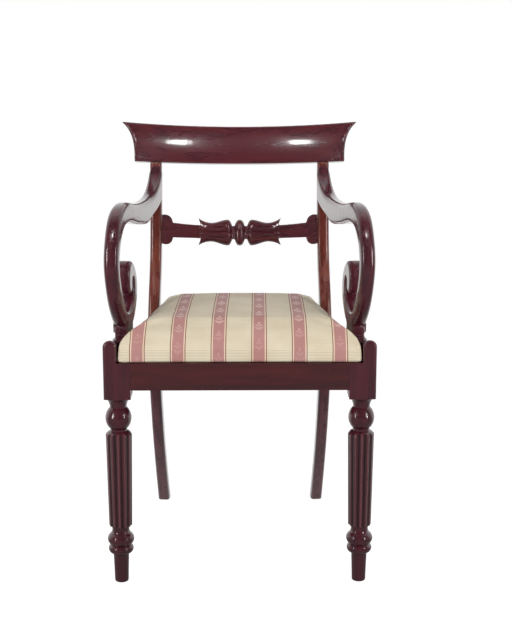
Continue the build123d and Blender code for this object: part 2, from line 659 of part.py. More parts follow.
def arm_blank():
    stretch = math.hypot(1, ARM_SLOPE)
    pad_top = LIP_TOP + ARM_PAD_HEIGHT
    taller = (CREST_HEIGHT - pad_top) / ARM_DRAWN_RISE
    longer = (KNEE_DEPTH - ARM_FOOT_DEPTH) / ARM_DRAWN_REACH

    def foot(along, rise):
        """Place measured from the front of the arm's foot and the top of its pad."""
        return ((ARM_FOOT_DEPTH + along * longer) * stretch, pad_top + rise * taller)

    def tail(ahead, below):
        """Place measured ahead of the stile's front face and below the crest rail."""
        height = CREST_HEIGHT - below * taller
        depth = KNEE_DEPTH + sweep_at(LEG_FRONT, height) - ahead * longer
        return (depth * stretch, height)

    def follows(curve, edge):
        """Whether an edge of the plank lies on a curve of the pattern, seen square to the plank."""
        place = ARM_PLANE.to_local_coords(edge @ 0.5)
        return curve.distance_to(Vertex(place.X, place.Y, 0)) < OVERRUN

    outside = Spline(
        foot(5, 18),
        foot(-32, 58),
        foot(-59, 116),
        foot(-65, 150),
        foot(-54, 195),
        foot(-24, 237),
        foot(32, 254),
        foot(93, 246),
        tail(129, 57),
        tail(66, 51),
        tail(20, 28),
        tail(-4, -10),
    )
    underside = Spline(
        tail(-15, 66),
        tail(27, 85),
        tail(79, 95.5),
        tail(124, 104),
        foot(158, 194),
        foot(108, 202),
        foot(73, 210),
        foot(33, 215),
        foot(0, 209),
        foot(-26, 187),
        foot(-40, 150),
        foot(-34, 116),
        foot(-14, 76),
        foot(6, 52),
        foot(28, 43.5),
        foot(51, 49),
        foot(68, 66),
        foot(72, 84),
        foot(66, 103),
        foot(61.5, 105),
        foot(58, 101),
        foot(57, 90),
        foot(52, 79),
        foot(42, 75.5),
        foot(32, 82),
        foot(28.5, 100),
        foot(33, 126),
        foot(48, 138.5),
        foot(68, 133),
        foot(86, 116),
        foot(96.5, 92),
        foot(96, 68),
        foot(84, 42),
        foot(66, 22),
        foot(50, 12),
    )
    heel = max((outside @ 1).X, (underside @ 0).X) + STILE_SECTION
    closing_tail = Polyline(outside @ 1, (heel, (outside @ 1).Y), (heel, (underside @ 0).Y), underside @ 0)
    closing_foot = Polyline(underside @ 1, foot(50, 6), foot(5, 6), outside @ 0)
    outline = closed_face(*in_spans(outside, 4), closing_tail, *in_spans(underside, 8), closing_foot)
    plank = slab(ARM_PLANE, outline, -ARM_THICKNESS, 0)
    for curve, radius in ((outside, ARM_ROUND), (underside, ARM_UNDER_ROUND)):
        sawn = [edge for edge in long_edges(plank, ARM_THICKNESS) if follows(curve, edge)]
        plank = fillet(sawn, radius)
    heel_end = (ARM_FOOT_DEPTH + ARM_FOOT_LENGTH) * stretch
    upright = (Align.MAX, Align.MIN)
    plinth = Pos(heel_end, LIP_TOP) * (
        Rectangle(ARM_FOOT_LENGTH, ARM_PAD_HEIGHT + ARM_FOOT_HEIGHT, align=upright)
        + Rectangle(ARM_PAD_LENGTH, ARM_PAD_HEIGHT, align=upright)
    )
    return plank + slab(ARM_PLANE, plinth, -ARM_THICKNESS, -ARM_FOOT_STEP)


def arm():
    """Right arm, scribed to the stile's front face and to the crest rail's underside."""
    return arm_blank() - behind_leg() - above_crest_line()


def arm_dowel_pair():
    """Dowels between the right side rail and the foot of the arm."""
    dowels = []
    for share in (0.25, 0.75):
        along = (ARM_FOOT_DEPTH + share * ARM_FOOT_LENGTH) * math.hypot(1, ARM_SLOPE)
        middle = ARM_PLANE.from_local_coords(Vector(along, LIP_TOP, -ARM_THICKNESS / 2))
        dowels.append(Pos(middle) * Cylinder(DOWEL_RADIUS, 2 * DOWEL_HALF_LENGTH))
    return dowels


def screw(start, direction, length):
    """Countersunk wood screw with the face of its head at the start."""
    upright = (Align.CENTER, Align.CENTER, Align.MIN)
    head = SCREW_HEAD_RADIUS - SCREW_RADIUS
    body = Cone(SCREW_HEAD_RADIUS, SCREW_RADIUS, head, align=upright)
    body += Cylinder(SCREW_RADIUS, length - SCREW_RADIUS, align=upright)
    point = Cone(SCREW_RADIUS, SCREW_TIP_RADIUS, SCREW_RADIUS, align=upright)
    body += Pos(0, 0, length - SCREW_RADIUS) * point
    return Plane(origin=start, z_dir=direction) * body


def arm_screw_and_pellet(leg):
    """Screw through the right stile into the arm, and the pellet that hides its head."""
    height = CREST_HEIGHT - ARM_SCREW_DROP
    back = sweep_at(LEG_BACK, height)
    ahead = run_direction(TOE_SLOPE) * -1
    seat = leg_point(back - PELLET_LENGTH, height)
    hole = Plane(origin=seat, z_dir=ahead * -1) * Cylinder(
        PELLET_RADIUS, 2 * PELLET_LENGTH, align=(Align.CENTER, Align.CENTER, Align.MIN)
    )
    return screw(seat, ahead, ARM_SCREW_LENGTH), hole & leg


# Corner blocks and their screws

BRACE_TOP = LEDGE_HEIGHT - BRACE_DROP


def brace(corners):
    face = Polygon(*corners, align=None)
    return extrude(Pos(0, 0, BRACE_TOP - BRACE_HEIGHT) * face, amount=BRACE_HEIGHT, dir=UP)


def brace_screws(first, last, corner):
    """Two screws through a corner block's open face, square to it and towards the corner."""
    first = Vector(*first)
    last = Vector(*last)
    along = (last - first).normalized()
    inward = along.cross(UP)
    if inward.dot(Vector(*corner) - first) < 0:
        inward *= -1
    middle = (first + last) * 0.5 + UP * (BRACE_TOP - BRACE_HEIGHT / 2)
    return [
        screw(middle + along * shift, inward, BRACE_SCREW_LENGTH)
        for shift in (-BRACE_SCREW_SPREAD, BRACE_SCREW_SPREAD)
    ]


def front_brace_corners():
    inner = HALF_FRONT - BLOCK
    reach = BLOCK + BRACE_SIDE_REACH
    return (
        (inner - BRACE_FRONT_REACH, FRONT_RAIL_BACK),
        (inner, FRONT_RAIL_BACK),
        (inner, BLOCK),
        (ledge_x(BLOCK), BLOCK),
        (ledge_x(reach), reach),
    )


def rear_brace_corners():
    reach = REAR_RAIL_FRONT - BRACE_REAR_REACH
    return (
        (ledge_x(reach), reach),
        (ledge_x(REAR_RAIL_FRONT), REAR_RAIL_FRONT),
        (ledge_x(REAR_RAIL_FRONT) - BRACE_REAR_REACH, REAR_RAIL_FRONT),
    )


# Drop-in seat: beech frame, webbing, hessian, stuffing and a striped cover

SEAT_FRONT = FRONT_RAIL_SETBACK + SEAT_FRONT_GAP
SEAT_REAR = REAR_LIP_FRONT - SEAT_CLEARANCE
SEAT_MIDDLE = (SEAT_FRONT + SEAT_REAR) / 2
COVER_INSIDE = COVER_THICKNESS + SOFT_CLEARANCE
FRAME_BOTTOM = LEDGE_HEIGHT + COVER_THICKNESS
FRAME_TOP = FRAME_BOTTOM + FRAME_THICKNESS
HESSIAN_TOP = FRAME_TOP + 2 * STRAP_THICKNESS + HESSIAN_THICKNESS
LINING_FRONT = FRONT_RAIL_BACK + LINING_INSET
LINING_REAR = REAR_RAIL_FRONT - LINING_INSET


def seat_x(depth, inset):
    """X of the seat's right side at a depth, drawn in by an inset."""
    return rail_x(depth, LIP_THICKNESS) - SEAT_CLEARANCE - inset


def trapezoid(front, rear, inset):
    """Four-cornered outline between two depths that follows the seat's sides."""
    wide = seat_x(front, inset)
    narrow = seat_x(rear, inset)
    return Polygon((-wide, front), (wide, front), (narrow, rear), (-narrow, rear), align=None)


def sheet(outline, low, high):
    return extrude(Pos(0, 0, low) * outline, amount=high - low, dir=UP)


def seat_outline(inset):
    """Plan of the seat: sides drawn in between rounded corners."""
    front = SEAT_FRONT + inset
    rear = SEAT_REAR - inset
    wide = seat_x(SEAT_FRONT, inset)
    narrow = seat_x(SEAT_REAR, inset)
    side = (wide + narrow) / 2 - SEAT_DRAW_IN
    outline = closed_face(
        ThreePointArc((-wide, front), (0, front + SEAT_DRAW_IN), (wide, front)),
        ThreePointArc((wide, front), (side, SEAT_MIDDLE), (narrow, rear)),
        ThreePointArc((narrow, rear), (0, rear - SEAT_DRAW_IN), (-narrow, rear)),
        ThreePointArc((-narrow, rear), (-side, SEAT_MIDDLE), (-wide, front)),
    )
    return fillet(outline.vertices(), SEAT_CORNER - inset)


def pillow(ends, walls, shoulders, top, inset, bottom):
    """Upright section: two walls, rounded shoulders and a crown between two ends."""
    low_end, high_end = ends
    low_wall, high_wall = [LEDGE_HEIGHT + wall - inset for wall in walls]
    brow = top - CROWN_FALL
    first = low_end + shoulders[0]
    last = high_end - shoulders[1]
    low_full = (mix(first, low_end, SHOULDER_BULGE), mix(low_wall, brow, SHOULDER_BULGE))
    high_full = (mix(last, high_end, SHOULDER_BULGE), mix(high_wall, brow, SHOULDER_BULGE))
    return closed_face(
        ThreePointArc((low_end, low_wall), low_full, (first, brow)),
        ThreePointArc((first, brow), (mix(first, last, 0.5), top), (last, brow)),
        ThreePointArc((last, brow), high_full, (high_end, high_wall)),
        Polyline((high_end, high_wall), (high_end, bottom), (low_end, bottom), (low_end, low_wall)),
    )


def seat_form(inset, bottom):
    """The seat's outside, or a form drawn in from it by an inset."""
    top = LEDGE_HEIGHT + CROWN_RISE - inset
    ends = []
    for depth in (SEAT_FRONT - SEAT_CORNER, SEAT_REAR + SEAT_CORNER):
        half = seat_x(depth, inset)
        sides = (SIDE_WALL, SIDE_WALL)
        shoulders = (SIDE_SHOULDER, SIDE_SHOULDER)
        section = pillow((-half, half), sides, shoulders, top, inset, bottom)
        ends.append(Plane.XZ.offset(-depth) * section)
    across = loft(ends, ruled=True)
    length = (SEAT_FRONT + inset, SEAT_REAR - inset)
    walls = (FRONT_WALL, SIDE_WALL)
    shoulders = (FRONT_SHOULDER, SIDE_SHOULDER)
    section = pillow(length, walls, shoulders, top + CROWN_RIDGE, inset, bottom)
    along = extrude(Plane.YZ * section, amount=HALF_FRONT, both=True)
    plan = sheet(seat_outline(inset), bottom, LEDGE_HEIGHT + 2 * CROWN_RISE)
    return plan & along & across


def seat_cover():
    inside = seat_form(COVER_THICKNESS, FRAME_BOTTOM)
    opening = trapezoid(SEAT_FRONT + FRONT_LAP, SEAT_REAR - LAP, LAP)
    return seat_form(0, LEDGE_HEIGHT) - inside - sheet(opening, LEDGE_HEIGHT - OVERRUN, FRAME_TOP)


def seat_stuffing():
    form = seat_form(COVER_INSIDE, FRAME_BOTTOM)
    above = box((-HALF_FRONT, HALF_FRONT), (0, REAR_RAIL_BACK), (HESSIAN_TOP, CREST_HEIGHT))
    return form & above


def frame_block():
    """The seat's frame as one plate that follows the inside of the cover."""
    return sheet(seat_outline(COVER_INSIDE), FRAME_BOTTOM, FRAME_TOP)


def frame_cross(front):
    """Strip of the frame's plate between its side rails, from a depth back."""
    return sheet(trapezoid(front, front + FRAME_WIDTH, FRAME_WIDTH), FRAME_BOTTOM, FRAME_TOP)


def frame_side():
    """Right-hand rail of the seat's frame."""
    strip = Polygon(
        (seat_x(SEAT_FRONT, FRAME_WIDTH), SEAT_FRONT),
        (HALF_FRONT, SEAT_FRONT),
        (HALF_FRONT, SEAT_REAR),
        (seat_x(SEAT_REAR, FRAME_WIDTH), SEAT_REAR),
        align=None,
    )
    return frame_block() & sheet(strip, FRAME_BOTTOM, FRAME_TOP)


def frame_front_rail():
    return frame_block() & frame_cross(SEAT_FRONT)


def frame_rear_rail():
    return frame_block() & frame_cross(SEAT_REAR - FRAME_WIDTH)


def frame_dowels():
    dowels = []
    middle = (FRAME_BOTTOM + FRAME_TOP) / 2
    for start in (SEAT_FRONT, SEAT_REAR - FRAME_WIDTH):
        for share in (0.28, 0.72):
            depth = start + share * FRAME_WIDTH
            joint = seat_x(depth, FRAME_WIDTH)
            dowel = Rot(0, 90, 0) * Cylinder(FRAME_DOWEL_RADIUS, FRAME_DOWEL_LENGTH)
            dowels += both_sides(Pos(joint, depth, middle) * dowel)
    return dowels


def lengthwise_straps():
    front = SEAT_FRONT + STRAP_INSET
    rear = SEAT_REAR - STRAP_INSET
    straps = []
    for n in range(LENGTHWISE_STRAPS):
        x = (n - (LENGTHWISE_STRAPS - 1) / 2) * STRAP_PITCH
        strip = (x - STRAP_WIDTH / 2, x + STRAP_WIDTH / 2)
        straps.append(box(strip, (front, rear), (FRAME_TOP, FRAME_TOP + STRAP_THICKNESS)))
    return straps


def crosswise_straps():
    low = FRAME_TOP + STRAP_THICKNESS
    straps = []
    for n in range(CROSSWISE_STRAPS):
        depth = SEAT_MIDDLE + (n - (CROSSWISE_STRAPS - 1) / 2) * CROSS_PITCH
        front = depth - STRAP_WIDTH / 2
        strip = trapezoid(front, front + STRAP_WIDTH, STRAP_INSET)
        straps.append(sheet(strip, low, low + STRAP_THICKNESS))
    return straps


def hessian():
    low = FRAME_TOP + 2 * STRAP_THICKNESS
    outline = trapezoid(SEAT_FRONT + STRAP_INSET, SEAT_REAR - STRAP_INSET, STRAP_INSET)
    return sheet(outline, low, low + HESSIAN_THICKNESS)


def lining():
    """Dust cloth under the frame, inside the ledges and the leg blocks."""
    notch_x = HALF_FRONT - BLOCK - LINING_INSET
    notch_y = BLOCK + LINING_INSET
    right = [
        (notch_x, LINING_FRONT),
        (notch_x, notch_y),
        (ledge_x(notch_y) - LINING_INSET, notch_y),
        (ledge_x(LINING_REAR) - LINING_INSET, LINING_REAR),
    ]
    left = [(-x, y) for x, y in reversed(right)]
    outline = Polygon(*right, *left, align=None)
    return sheet(outline, LEDGE_HEIGHT - LINING_THICKNESS, LEDGE_HEIGHT)


def tack_row(first, last):
    """Evenly spaced places from one to the other."""
    first = Vector(*first)
    last = Vector(*last)
    steps = max(1, round((last - first).length / TACK_SPACING))
    return [first + (last - first) * (n / steps) for n in range(steps + 1)]


def tacks():
    """Tacks through the lining and the cover's laps into the frame."""
    front = LINING_FRONT + TACK_INSET
    rear = LINING_REAR - TACK_INSET
    inset = LINING_INSET + TACK_INSET
    corner_x = HALF_FRONT - BLOCK - inset
    side_start = BLOCK + inset + TACK_SPACING / 2
    side_end = rear - TACK_SPACING / 2
    places = tack_row((-corner_x, front), (corner_x, front))
    places += tack_row((inset - ledge_x(rear), rear), (ledge_x(rear) - inset, rear))
    for side in (-1, 1):
        first = (side * (ledge_x(side_start) - inset), side_start)
        last = (side * (ledge_x(side_end) - inset), side_end)
        places += tack_row(first, last)
    upright = (Align.CENTER, Align.CENTER, Align.MIN)
    tack = Cylinder(TACK_HEAD_RADIUS, TACK_HEAD, align=upright)
    tack += Cylinder(TACK_SHANK_RADIUS, TACK_LENGTH, align=upright)
    under = LEDGE_HEIGHT - LINING_THICKNESS - TACK_HEAD
    return [Pos(place.X, place.Y, under) * tack for place in places]


# Assembly: each joint's tenon, dowel or screw is cut out of the pieces that it enters

def assemble():
    crest = crest_blank()
    rear_leg = rounded_leg() - above_crest_line()
    rear_leg += stile_tenon()
    rear_leg_x = leg_point(sweep_at(LEG_FRONT, MID_HEIGHT), MID_HEIGHT, LEG_THICKNESS).X
    mid = mid_rail_blank(rear_leg_x) - both_sides(beyond_leg()) + both_sides(mid_tenon())
    front_tenon, rear_tenon = side_rail_tenons()
    side = side_rail() + front_tenon + rear_tenon
    front = front_rail() + both_sides(front_rail_tenon())
    rear = rear_rail() + both_sides(rear_rail_tenon())
    right_arm = arm()
    arm_screw, pellet = arm_screw_and_pellet(rear_leg)
    arm_dowels = arm_dowel_pair()
    front_corners = front_brace_corners()
    rear_corners = rear_brace_corners()
    front_screws = brace_screws(front_corners[0], front_corners[-1], front_corners[1])
    rear_screws = brace_screws(rear_corners[0], rear_corners[-1], rear_corners[1])
    brace_set = front_screws + rear_screws
    all_brace_screws = brace_set + [other_side(one) for one in brace_set]
    block_leg = front_leg() - front_tenon - front_rail_tenon() - brace_set
    rear_leg = rear_leg - rear_tenon - rear_rail_tenon() - mid_tenon() - pellet - arm_screw
    side = side - arm_dowels - brace_set
    right_arm = right_arm - arm_dowels - arm_screw

    tack_set = tacks()
    dowel_set = frame_dowels()
    frame_right = frame_side() - dowel_set - tack_set
    frame_front = frame_front_rail() - dowel_set - tack_set
    frame_rear = frame_rear_rail() - dowel_set - tack_set

    pieces = {
        "crest_rail": crest - both_sides(stile_tenon()),
        "mid_rail": mid,
        "front_seat_rail": front - all_brace_screws,
        "rear_seat_rail": rear - all_brace_screws,
        "corner_block_screws": all_brace_screws,
        "arm_dowels": arm_dowels + [other_side(one) for one in arm_dowels],
        "arm_screws": both_sides(arm_screw),
        "screw_pellets": both_sides(pellet),
        "seat_frame_front": frame_front,
        "seat_frame_rear": frame_rear,
        "seat_frame_dowels": dowel_set,
        "webbing_lengthwise": lengthwise_straps(),
        "webbing_crosswise": crosswise_straps(),
        "seat_hessian": hessian(),
        "seat_stuffing": seat_stuffing(),
        "seat_cover": seat_cover() - tack_set,
        "seat_lining": lining() - tack_set,
        "cover_tacks": tack_set,
    }
    paired = {
        "front_leg": block_leg,
        "rear_leg": rear_leg,
        "side_seat_rail": side,
        "arm": right_arm,
        "corner_block_front": brace(front_corners) - brace_set,
        "corner_block_rear": brace(rear_corners) - brace_set,
        "seat_frame": frame_right,
    }
    for name, piece in paired.items():
        pieces[name + "_right"] = piece
        pieces[name + "_left"] = other_side(piece)
    return pieces


def main():
    os.makedirs("parts", exist_ok=True)
    centre = Pos(0, -OVERALL_DEPTH / 2, 0)
    for name, piece in assemble().items():
        solids = piece if isinstance(piece, list) else [piece]
        placed = [centre * solid for solid in solids]
        export_step(Compound(children=placed) if len(placed) > 1 else placed[0], f"parts/{name}.step")


if __name__ == "__main__":
    main()
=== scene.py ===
import math

import bmesh
import bpy
from mathutils import Matrix, Vector


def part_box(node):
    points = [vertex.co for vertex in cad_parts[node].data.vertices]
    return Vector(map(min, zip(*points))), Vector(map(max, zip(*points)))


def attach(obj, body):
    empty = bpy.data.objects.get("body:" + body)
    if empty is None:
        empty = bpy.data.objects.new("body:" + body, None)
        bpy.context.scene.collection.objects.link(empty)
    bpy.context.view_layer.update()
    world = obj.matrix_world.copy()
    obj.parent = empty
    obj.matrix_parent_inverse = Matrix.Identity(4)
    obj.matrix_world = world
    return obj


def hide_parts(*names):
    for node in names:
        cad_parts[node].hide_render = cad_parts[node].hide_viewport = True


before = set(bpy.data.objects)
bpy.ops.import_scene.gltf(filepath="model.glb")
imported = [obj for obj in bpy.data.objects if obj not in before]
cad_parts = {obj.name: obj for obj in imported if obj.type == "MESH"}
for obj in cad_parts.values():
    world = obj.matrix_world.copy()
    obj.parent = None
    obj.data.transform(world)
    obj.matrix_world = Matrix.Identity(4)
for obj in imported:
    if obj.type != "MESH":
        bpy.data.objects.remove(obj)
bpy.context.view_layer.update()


# Rear legs: each is a sabre leg and a back stile in one, sawn from a mahogany plank.
# The long edges are rounded over, and the wood is stained, filled and French polished.

MERGE_GAP = 0.00001
POLISH_VOXEL = 0.0014
POLISH_ROUNDS = 6
# Width of a ribbon of figure and of a pore in millimetres; pores are coarser than life, to show.
RIBBON_WIDTH = 14
PORE_WIDTH = 1.5
# Share by which figure and pores are drawn out along the grain.
GRAIN_STRETCH = 0.07
TONES = (0.3, 0.5, 0.74)
# The stile is painted in a warmer tone where it is lit, and its foot in a cooler tone for the shade below
# the seat.
LIT_STILE_RED = ("#4e1c16", "#5c2419", "#6c2e1f")
SHADED_FOOT_RED = ("#472029", "#552933", "#65343c")
# Levels between which the foot's painted shade gives way to the stile's painted lit tone.
SHADE_CHANGE_LEVELS = (0.36, 0.48)


def linear(code):
    """An sRGB hex colour as the linear values that sockets take."""
    shades = [int(code[place:place + 2], 16) / 255 for place in (1, 3, 5)]
    return [s / 12.92 if s <= 0.04045 else ((s + 0.055) / 1.055) ** 2.4 for s in shades] + [1.0]


def fill(node, links):
    """Fills a node's sockets with values, with links, or with the first outputs of other nodes."""
    for socket, value in links.items():
        if isinstance(value, bpy.types.Node):
            value = value.outputs[0]
        if isinstance(value, bpy.types.NodeSocket):
            node.id_data.links.new(value, node.inputs[socket])
        else:
            node.inputs[socket].default_value = value


def add(tree, kind, links, stops=(), **settings):
    """Adds a node with its settings, the stops of its colour band if it has one, and its links."""
    node = tree.nodes.new(kind)
    for name, value in settings.items():
        setattr(node, name, value)
    if stops:
        band = node.color_ramp.elements
        while len(band) < len(stops):
            band.new(0.5)
        for element, (place, code) in zip(band, stops):
            element.position = place
            element.color = linear(code)
    fill(node, links)
    return node


def new_material(name):
    """A material with its node tree and its main shader."""
    material = bpy.data.materials.new(name)
    material.use_nodes = True
    return material, material.node_tree, material.node_tree.nodes["Principled BSDF"]


def mahogany(name, along, shades, shaded_foot_shades=None):
    """Stained mahogany under shellac: quiet ribbons and short dark pores below a clear, glassy film."""
    material, tree, surface = new_material(name)
    place = add(tree, "ShaderNodeTexCoord", {}).outputs["Object"]
    stretch = [GRAIN_STRETCH if axis == along else 1.0 for axis in "XYZ"]
    grain = add(tree, "ShaderNodeMapping", {"Vector": place, "Scale": stretch})
    ribbons = {"Scale": 1000 / RIBBON_WIDTH, "Detail": 4.0, "Roughness": 0.45, "Distortion": 0.3}
    ribbons = add(tree, "ShaderNodeTexNoise", {"Vector": grain, **ribbons})
    pores = add(tree, "ShaderNodeTexNoise", {"Vector": grain, "Scale": 1000 / PORE_WIDTH, "Detail": 2.0})
    colour = add(tree, "ShaderNodeValToRGB", {"Fac": ribbons}, list(zip(TONES, shades)))
    if shaded_foot_shades:
        # Painted light and shade: below the seat the wood is painted in a cooler tone for the shade there,
        # and above it in a warmer lit tone.
        level = add(tree, "ShaderNodeSeparateXYZ", {"Vector": place}).outputs["Z"]
        above = {"Value": level, "From Min": SHADE_CHANGE_LEVELS[0], "From Max": SHADE_CHANGE_LEVELS[1]}
        above = add(tree, "ShaderNodeMapRange", above)
        shaded_foot = add(tree, "ShaderNodeValToRGB", {"Fac": ribbons}, list(zip(TONES, shaded_foot_shades)))
        colour = add(tree, "ShaderNodeMix", {0: above, 6: shaded_foot, 7: colour}, data_type="RGBA").outputs[2]
    flecks = add(tree, "ShaderNodeValToRGB", {"Fac": pores}, [(0.34, "#8a7476"), (0.5, "#ffffff")])
    # A colour Mix has its share in socket 0, its two colours in 6 and 7, and the result in output 2.
    stained = {0: 0.22, 6: colour, 7: flecks}
    stained = add(tree, "ShaderNodeMix", stained, data_type="RGBA", blend_type="MULTIPLY")
    finish = {
        "Base Color": stained.outputs[2],
        "Roughness": add(tree, "ShaderNodeMapRange", {"Value": ribbons, "To Min": 0.22, "To Max": 0.34}),
        "Normal": add(tree, "ShaderNodeBump", {"Strength": 0.04, "Distance": 0.0003, "Height": pores}),
        "Specular IOR Level": 0.35,
        "Coat Weight": 1.0,
        "Coat Roughness": 0.1,
    }
    fill(surface, finish)
    return material


def place_piece(name, mesh, material, body, slot, *nodes):
    """Puts a finished mesh in the scene, for the nodes that it stands for."""
    mesh.materials.clear()
    mesh.materials.append(material)
    piece = bpy.data.objects.new(name, mesh)
    bpy.context.scene.collection.objects.link(piece)
    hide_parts(*nodes)
    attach(piece, body)
    return piece


def remeshed(mesh, voxel):
    """The closed skin of a mesh's overlapping forms, in even small faces."""
    holder = bpy.data.objects.new("remeshing", mesh)
    bpy.context.scene.collection.objects.link(holder)
    skin = holder.modifiers.new("Skin", "REMESH")
    skin.mode = "VOXEL"
    skin.voxel_size = voxel
    result = bpy.data.meshes.new_from_object(holder.evaluated_get(bpy.context.evaluated_depsgraph_get()))
    bpy.data.objects.remove(holder)
    bpy.data.meshes.remove(mesh)
    return result


def rub_down(mesh, rounds, above=-1.0):
    """Smooths the small steps of a mesh above a level, and shades it smooth."""
    shape = bmesh.new()
    shape.from_mesh(mesh)
    axes = {"use_axis_x": True, "use_axis_y": True, "use_axis_z": True}
    rubbed = [vert for vert in shape.verts if vert.co.z > above]
    for _ in range(rounds):
        bmesh.ops.smooth_vert(shape, verts=rubbed, factor=0.5, **axes)
    for face in shape.faces:
        face.smooth = True
    shape.to_mesh(mesh)
    shape.free()


def polished(node, material):
    """A sawn and shaped piece, cut back until no facet or sharp arris of the sawing is left."""
    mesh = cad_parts[node].data.copy()
    shape = bmesh.new()
    shape.from_mesh(mesh)
    bmesh.ops.remove_doubles(shape, verts=shape.verts, dist=MERGE_GAP)
    shape.to_mesh(mesh)
    shape.free()
    mesh = remeshed(mesh, POLISH_VOXEL)
    rub_down(mesh, POLISH_ROUNDS)
    return place_piece(node + "_polished", mesh, material, "chair", "mahogany", node)


stile_mahogany = mahogany("polished_mahogany_stiles", "Z", LIT_STILE_RED, SHADED_FOOT_RED)
for side in ("left", "right"):
    polished("rear_leg_" + side, stile_mahogany)


# Mid rail: the cross rail of the back, in one piece of mahogany. It is sawn to lobes at its ends, carved in
# the round to a bead between two tulips, bowed and raked with the back, and stub tenoned to the stiles.

DEEP_RED = ("#3c121a", "#46141c", "#51191e")
RAIL_BOW = 0.580
RAIL_RAKE = math.radians(10.0)
RAIL_THICKNESS = 0.016
RAIL_MIDDLE = RAIL_THICKNESS / 2
RAIL_END = 0.170
RAIL_DIP = 0.0075
BAR_AT_LOBES = 0.0160
BAR_AT_TULIPS = 0.0142
BAR_CUTS = 40
LOBE_RADIUS = 0.0155
LOBE_SPREAD = 0.0165
LOBE_MIDDLE = 0.1585
ROOT_EASE = 0.0015
BEAD = Vector((0.0122, 0.0165, 0.0282))
BEAD_FULLNESS = 0.85
TULIP_START = 0.0156
TULIP_LENGTH = 0.0735
TULIP_HEIGHT = 0.0280
TULIP_DEPTH = 0.0150
TULIP_STEPS = 36
TULIP_POINTS = 160
# Shares of a tulip's length: the fullest bulb, the narrowest waist, and the slots of its petals.
BULB_FULLEST = 0.14
WAIST_NARROWEST = 0.62
SLOT_OPEN = 0.26
SLOT_CLOSE = (0.66, 0.84)
# Shares of its height and depth: the rise of the bulb, the waist, the flare and the thinner tips.
BULB_RISE = 0.5
BULB_CURVE = 2.5
WAIST_LOSS = 0.27
FLARE_GAIN = 0.33
DEPTH_LOSS = 0.32
SLOT_LEVEL = 0.47
# Two small points inside the outer tips: their level, their width, and how far each kind runs on.
INNER_LEVEL = 0.24
INNER_WIDTH = 0.11
INNER_LEAD = 0.05
OUTER_LEAD = 0.09
# The hollow in the open end: how far along its floor is, and its share of the depth and height.
HOLLOW_FLOOR = 0.93
HOLLOW_DEPTH = 0.5
HOLLOW_HEIGHT = 0.6
PETAL_GROOVE = 0.0045
CHISEL = 0.0016
CARVING_VOXEL = 0.0009
CARVING_ROUNDS = 3
# From the rail's middle to the rearmost point of its node, and to the middle of the node's height.
RAIL_SET = Vector((0.0, 0.0213, -0.0010))


def soft_step(low, high, value):
    """Eases from 0 to 1 as a value goes from low to high."""
    share = min(max((value - low) / (high - low), 0.0), 1.0)
    return share * share * (3 - 2 * share)


def tulip_place(share, turn, side):
    """A point of a tulip: share runs from the bead to the tips, turn goes round from the front."""
    bulb = 1 - BULB_RISE * (1 - min(share / BULB_FULLEST, 1.0)) ** BULB_CURVE
    waist = WAIST_LOSS * soft_step(BULB_FULLEST, WAIST_NARROWEST, share)
    flare = FLARE_GAIN * max(0.0, (share - WAIST_NARROWEST) / (1 - WAIST_NARROWEST)) ** 2
    height = TULIP_HEIGHT * (bulb - waist + flare)
    depth = TULIP_DEPTH * (bulb - DEPTH_LOSS * soft_step(BULB_FULLEST, 1.0, share))
    level = math.sin(turn)
    rise = height * level
    forward = depth * math.cos(turn)
    # A groove parts the two halves, and a shorter slot is cut along each petal.
    groove = math.exp(-((rise / CHISEL) ** 2))
    slot = math.exp(-(((abs(rise) - SLOT_LEVEL * height) / CHISEL) ** 2))
    slot *= soft_step(BULB_FULLEST, SLOT_OPEN, share) * (1 - soft_step(*SLOT_CLOSE, share))
    forward *= 1 - PETAL_GROOVE * max(groove, slot) / max(depth, PETAL_GROOVE)
    # The outer tips run on past the hollow end, and two small inner points stand between them.
    inner_points = math.exp(-(((abs(level) - INNER_LEVEL) / INNER_WIDTH) ** 2))
    held_back = OUTER_LEAD - OUTER_LEAD * abs(level) ** 2 - INNER_LEAD * inner_points
    along = share * TULIP_LENGTH * (1 - share ** 3 * held_back)
    return Vector((side * (TULIP_START + along), RAIL_MIDDLE - forward, rise))


carving = bmesh.new()
bar = bmesh.ops.create_cube(carving, size=1.0)["verts"]
lengths = [
    edge
    for edge in {edge for vert in bar for edge in vert.link_edges}
    if abs(edge.verts[0].co.x - edge.verts[1].co.x) > 0.5
]
bmesh.ops.subdivide_edges(carving, edges=lengths, cuts=BAR_CUTS, use_grid_fill=True)
for vert in carving.verts:
    far = soft_step(TULIP_START + TULIP_LENGTH, LOBE_MIDDLE, abs(vert.co.x) * 2 * RAIL_END)
    half = BAR_AT_TULIPS + (BAR_AT_LOBES - BAR_AT_TULIPS) * far
    vert.co = Vector((vert.co.x * 2 * RAIL_END, (vert.co.y + 0.5) * RAIL_THICKNESS, vert.co.z * 2 * half))
for side in (-1, 1):
    for level in (-LOBE_SPREAD, LOBE_SPREAD):
        middle = Vector((side * LOBE_MIDDLE, RAIL_MIDDLE, level))
        turned = Matrix.Translation(middle) @ Matrix.Rotation(math.pi / 2, 4, "X")
        bmesh.ops.create_cone(
            carving,
            cap_ends=True,
            segments=48,
            radius1=LOBE_RADIUS,
            radius2=LOBE_RADIUS,
            depth=RAIL_THICKNESS,
            matrix=turned,
        )
    root = Vector((RAIL_END - LOBE_MIDDLE, RAIL_THICKNESS, 2 * (LOBE_SPREAD + LOBE_RADIUS - ROOT_EASE)))
    middle = Vector((side * (RAIL_END + LOBE_MIDDLE) / 2, RAIL_MIDDLE, 0.0))
    bmesh.ops.create_cube(carving, size=1.0, matrix=Matrix.LocRotScale(middle, None, root))
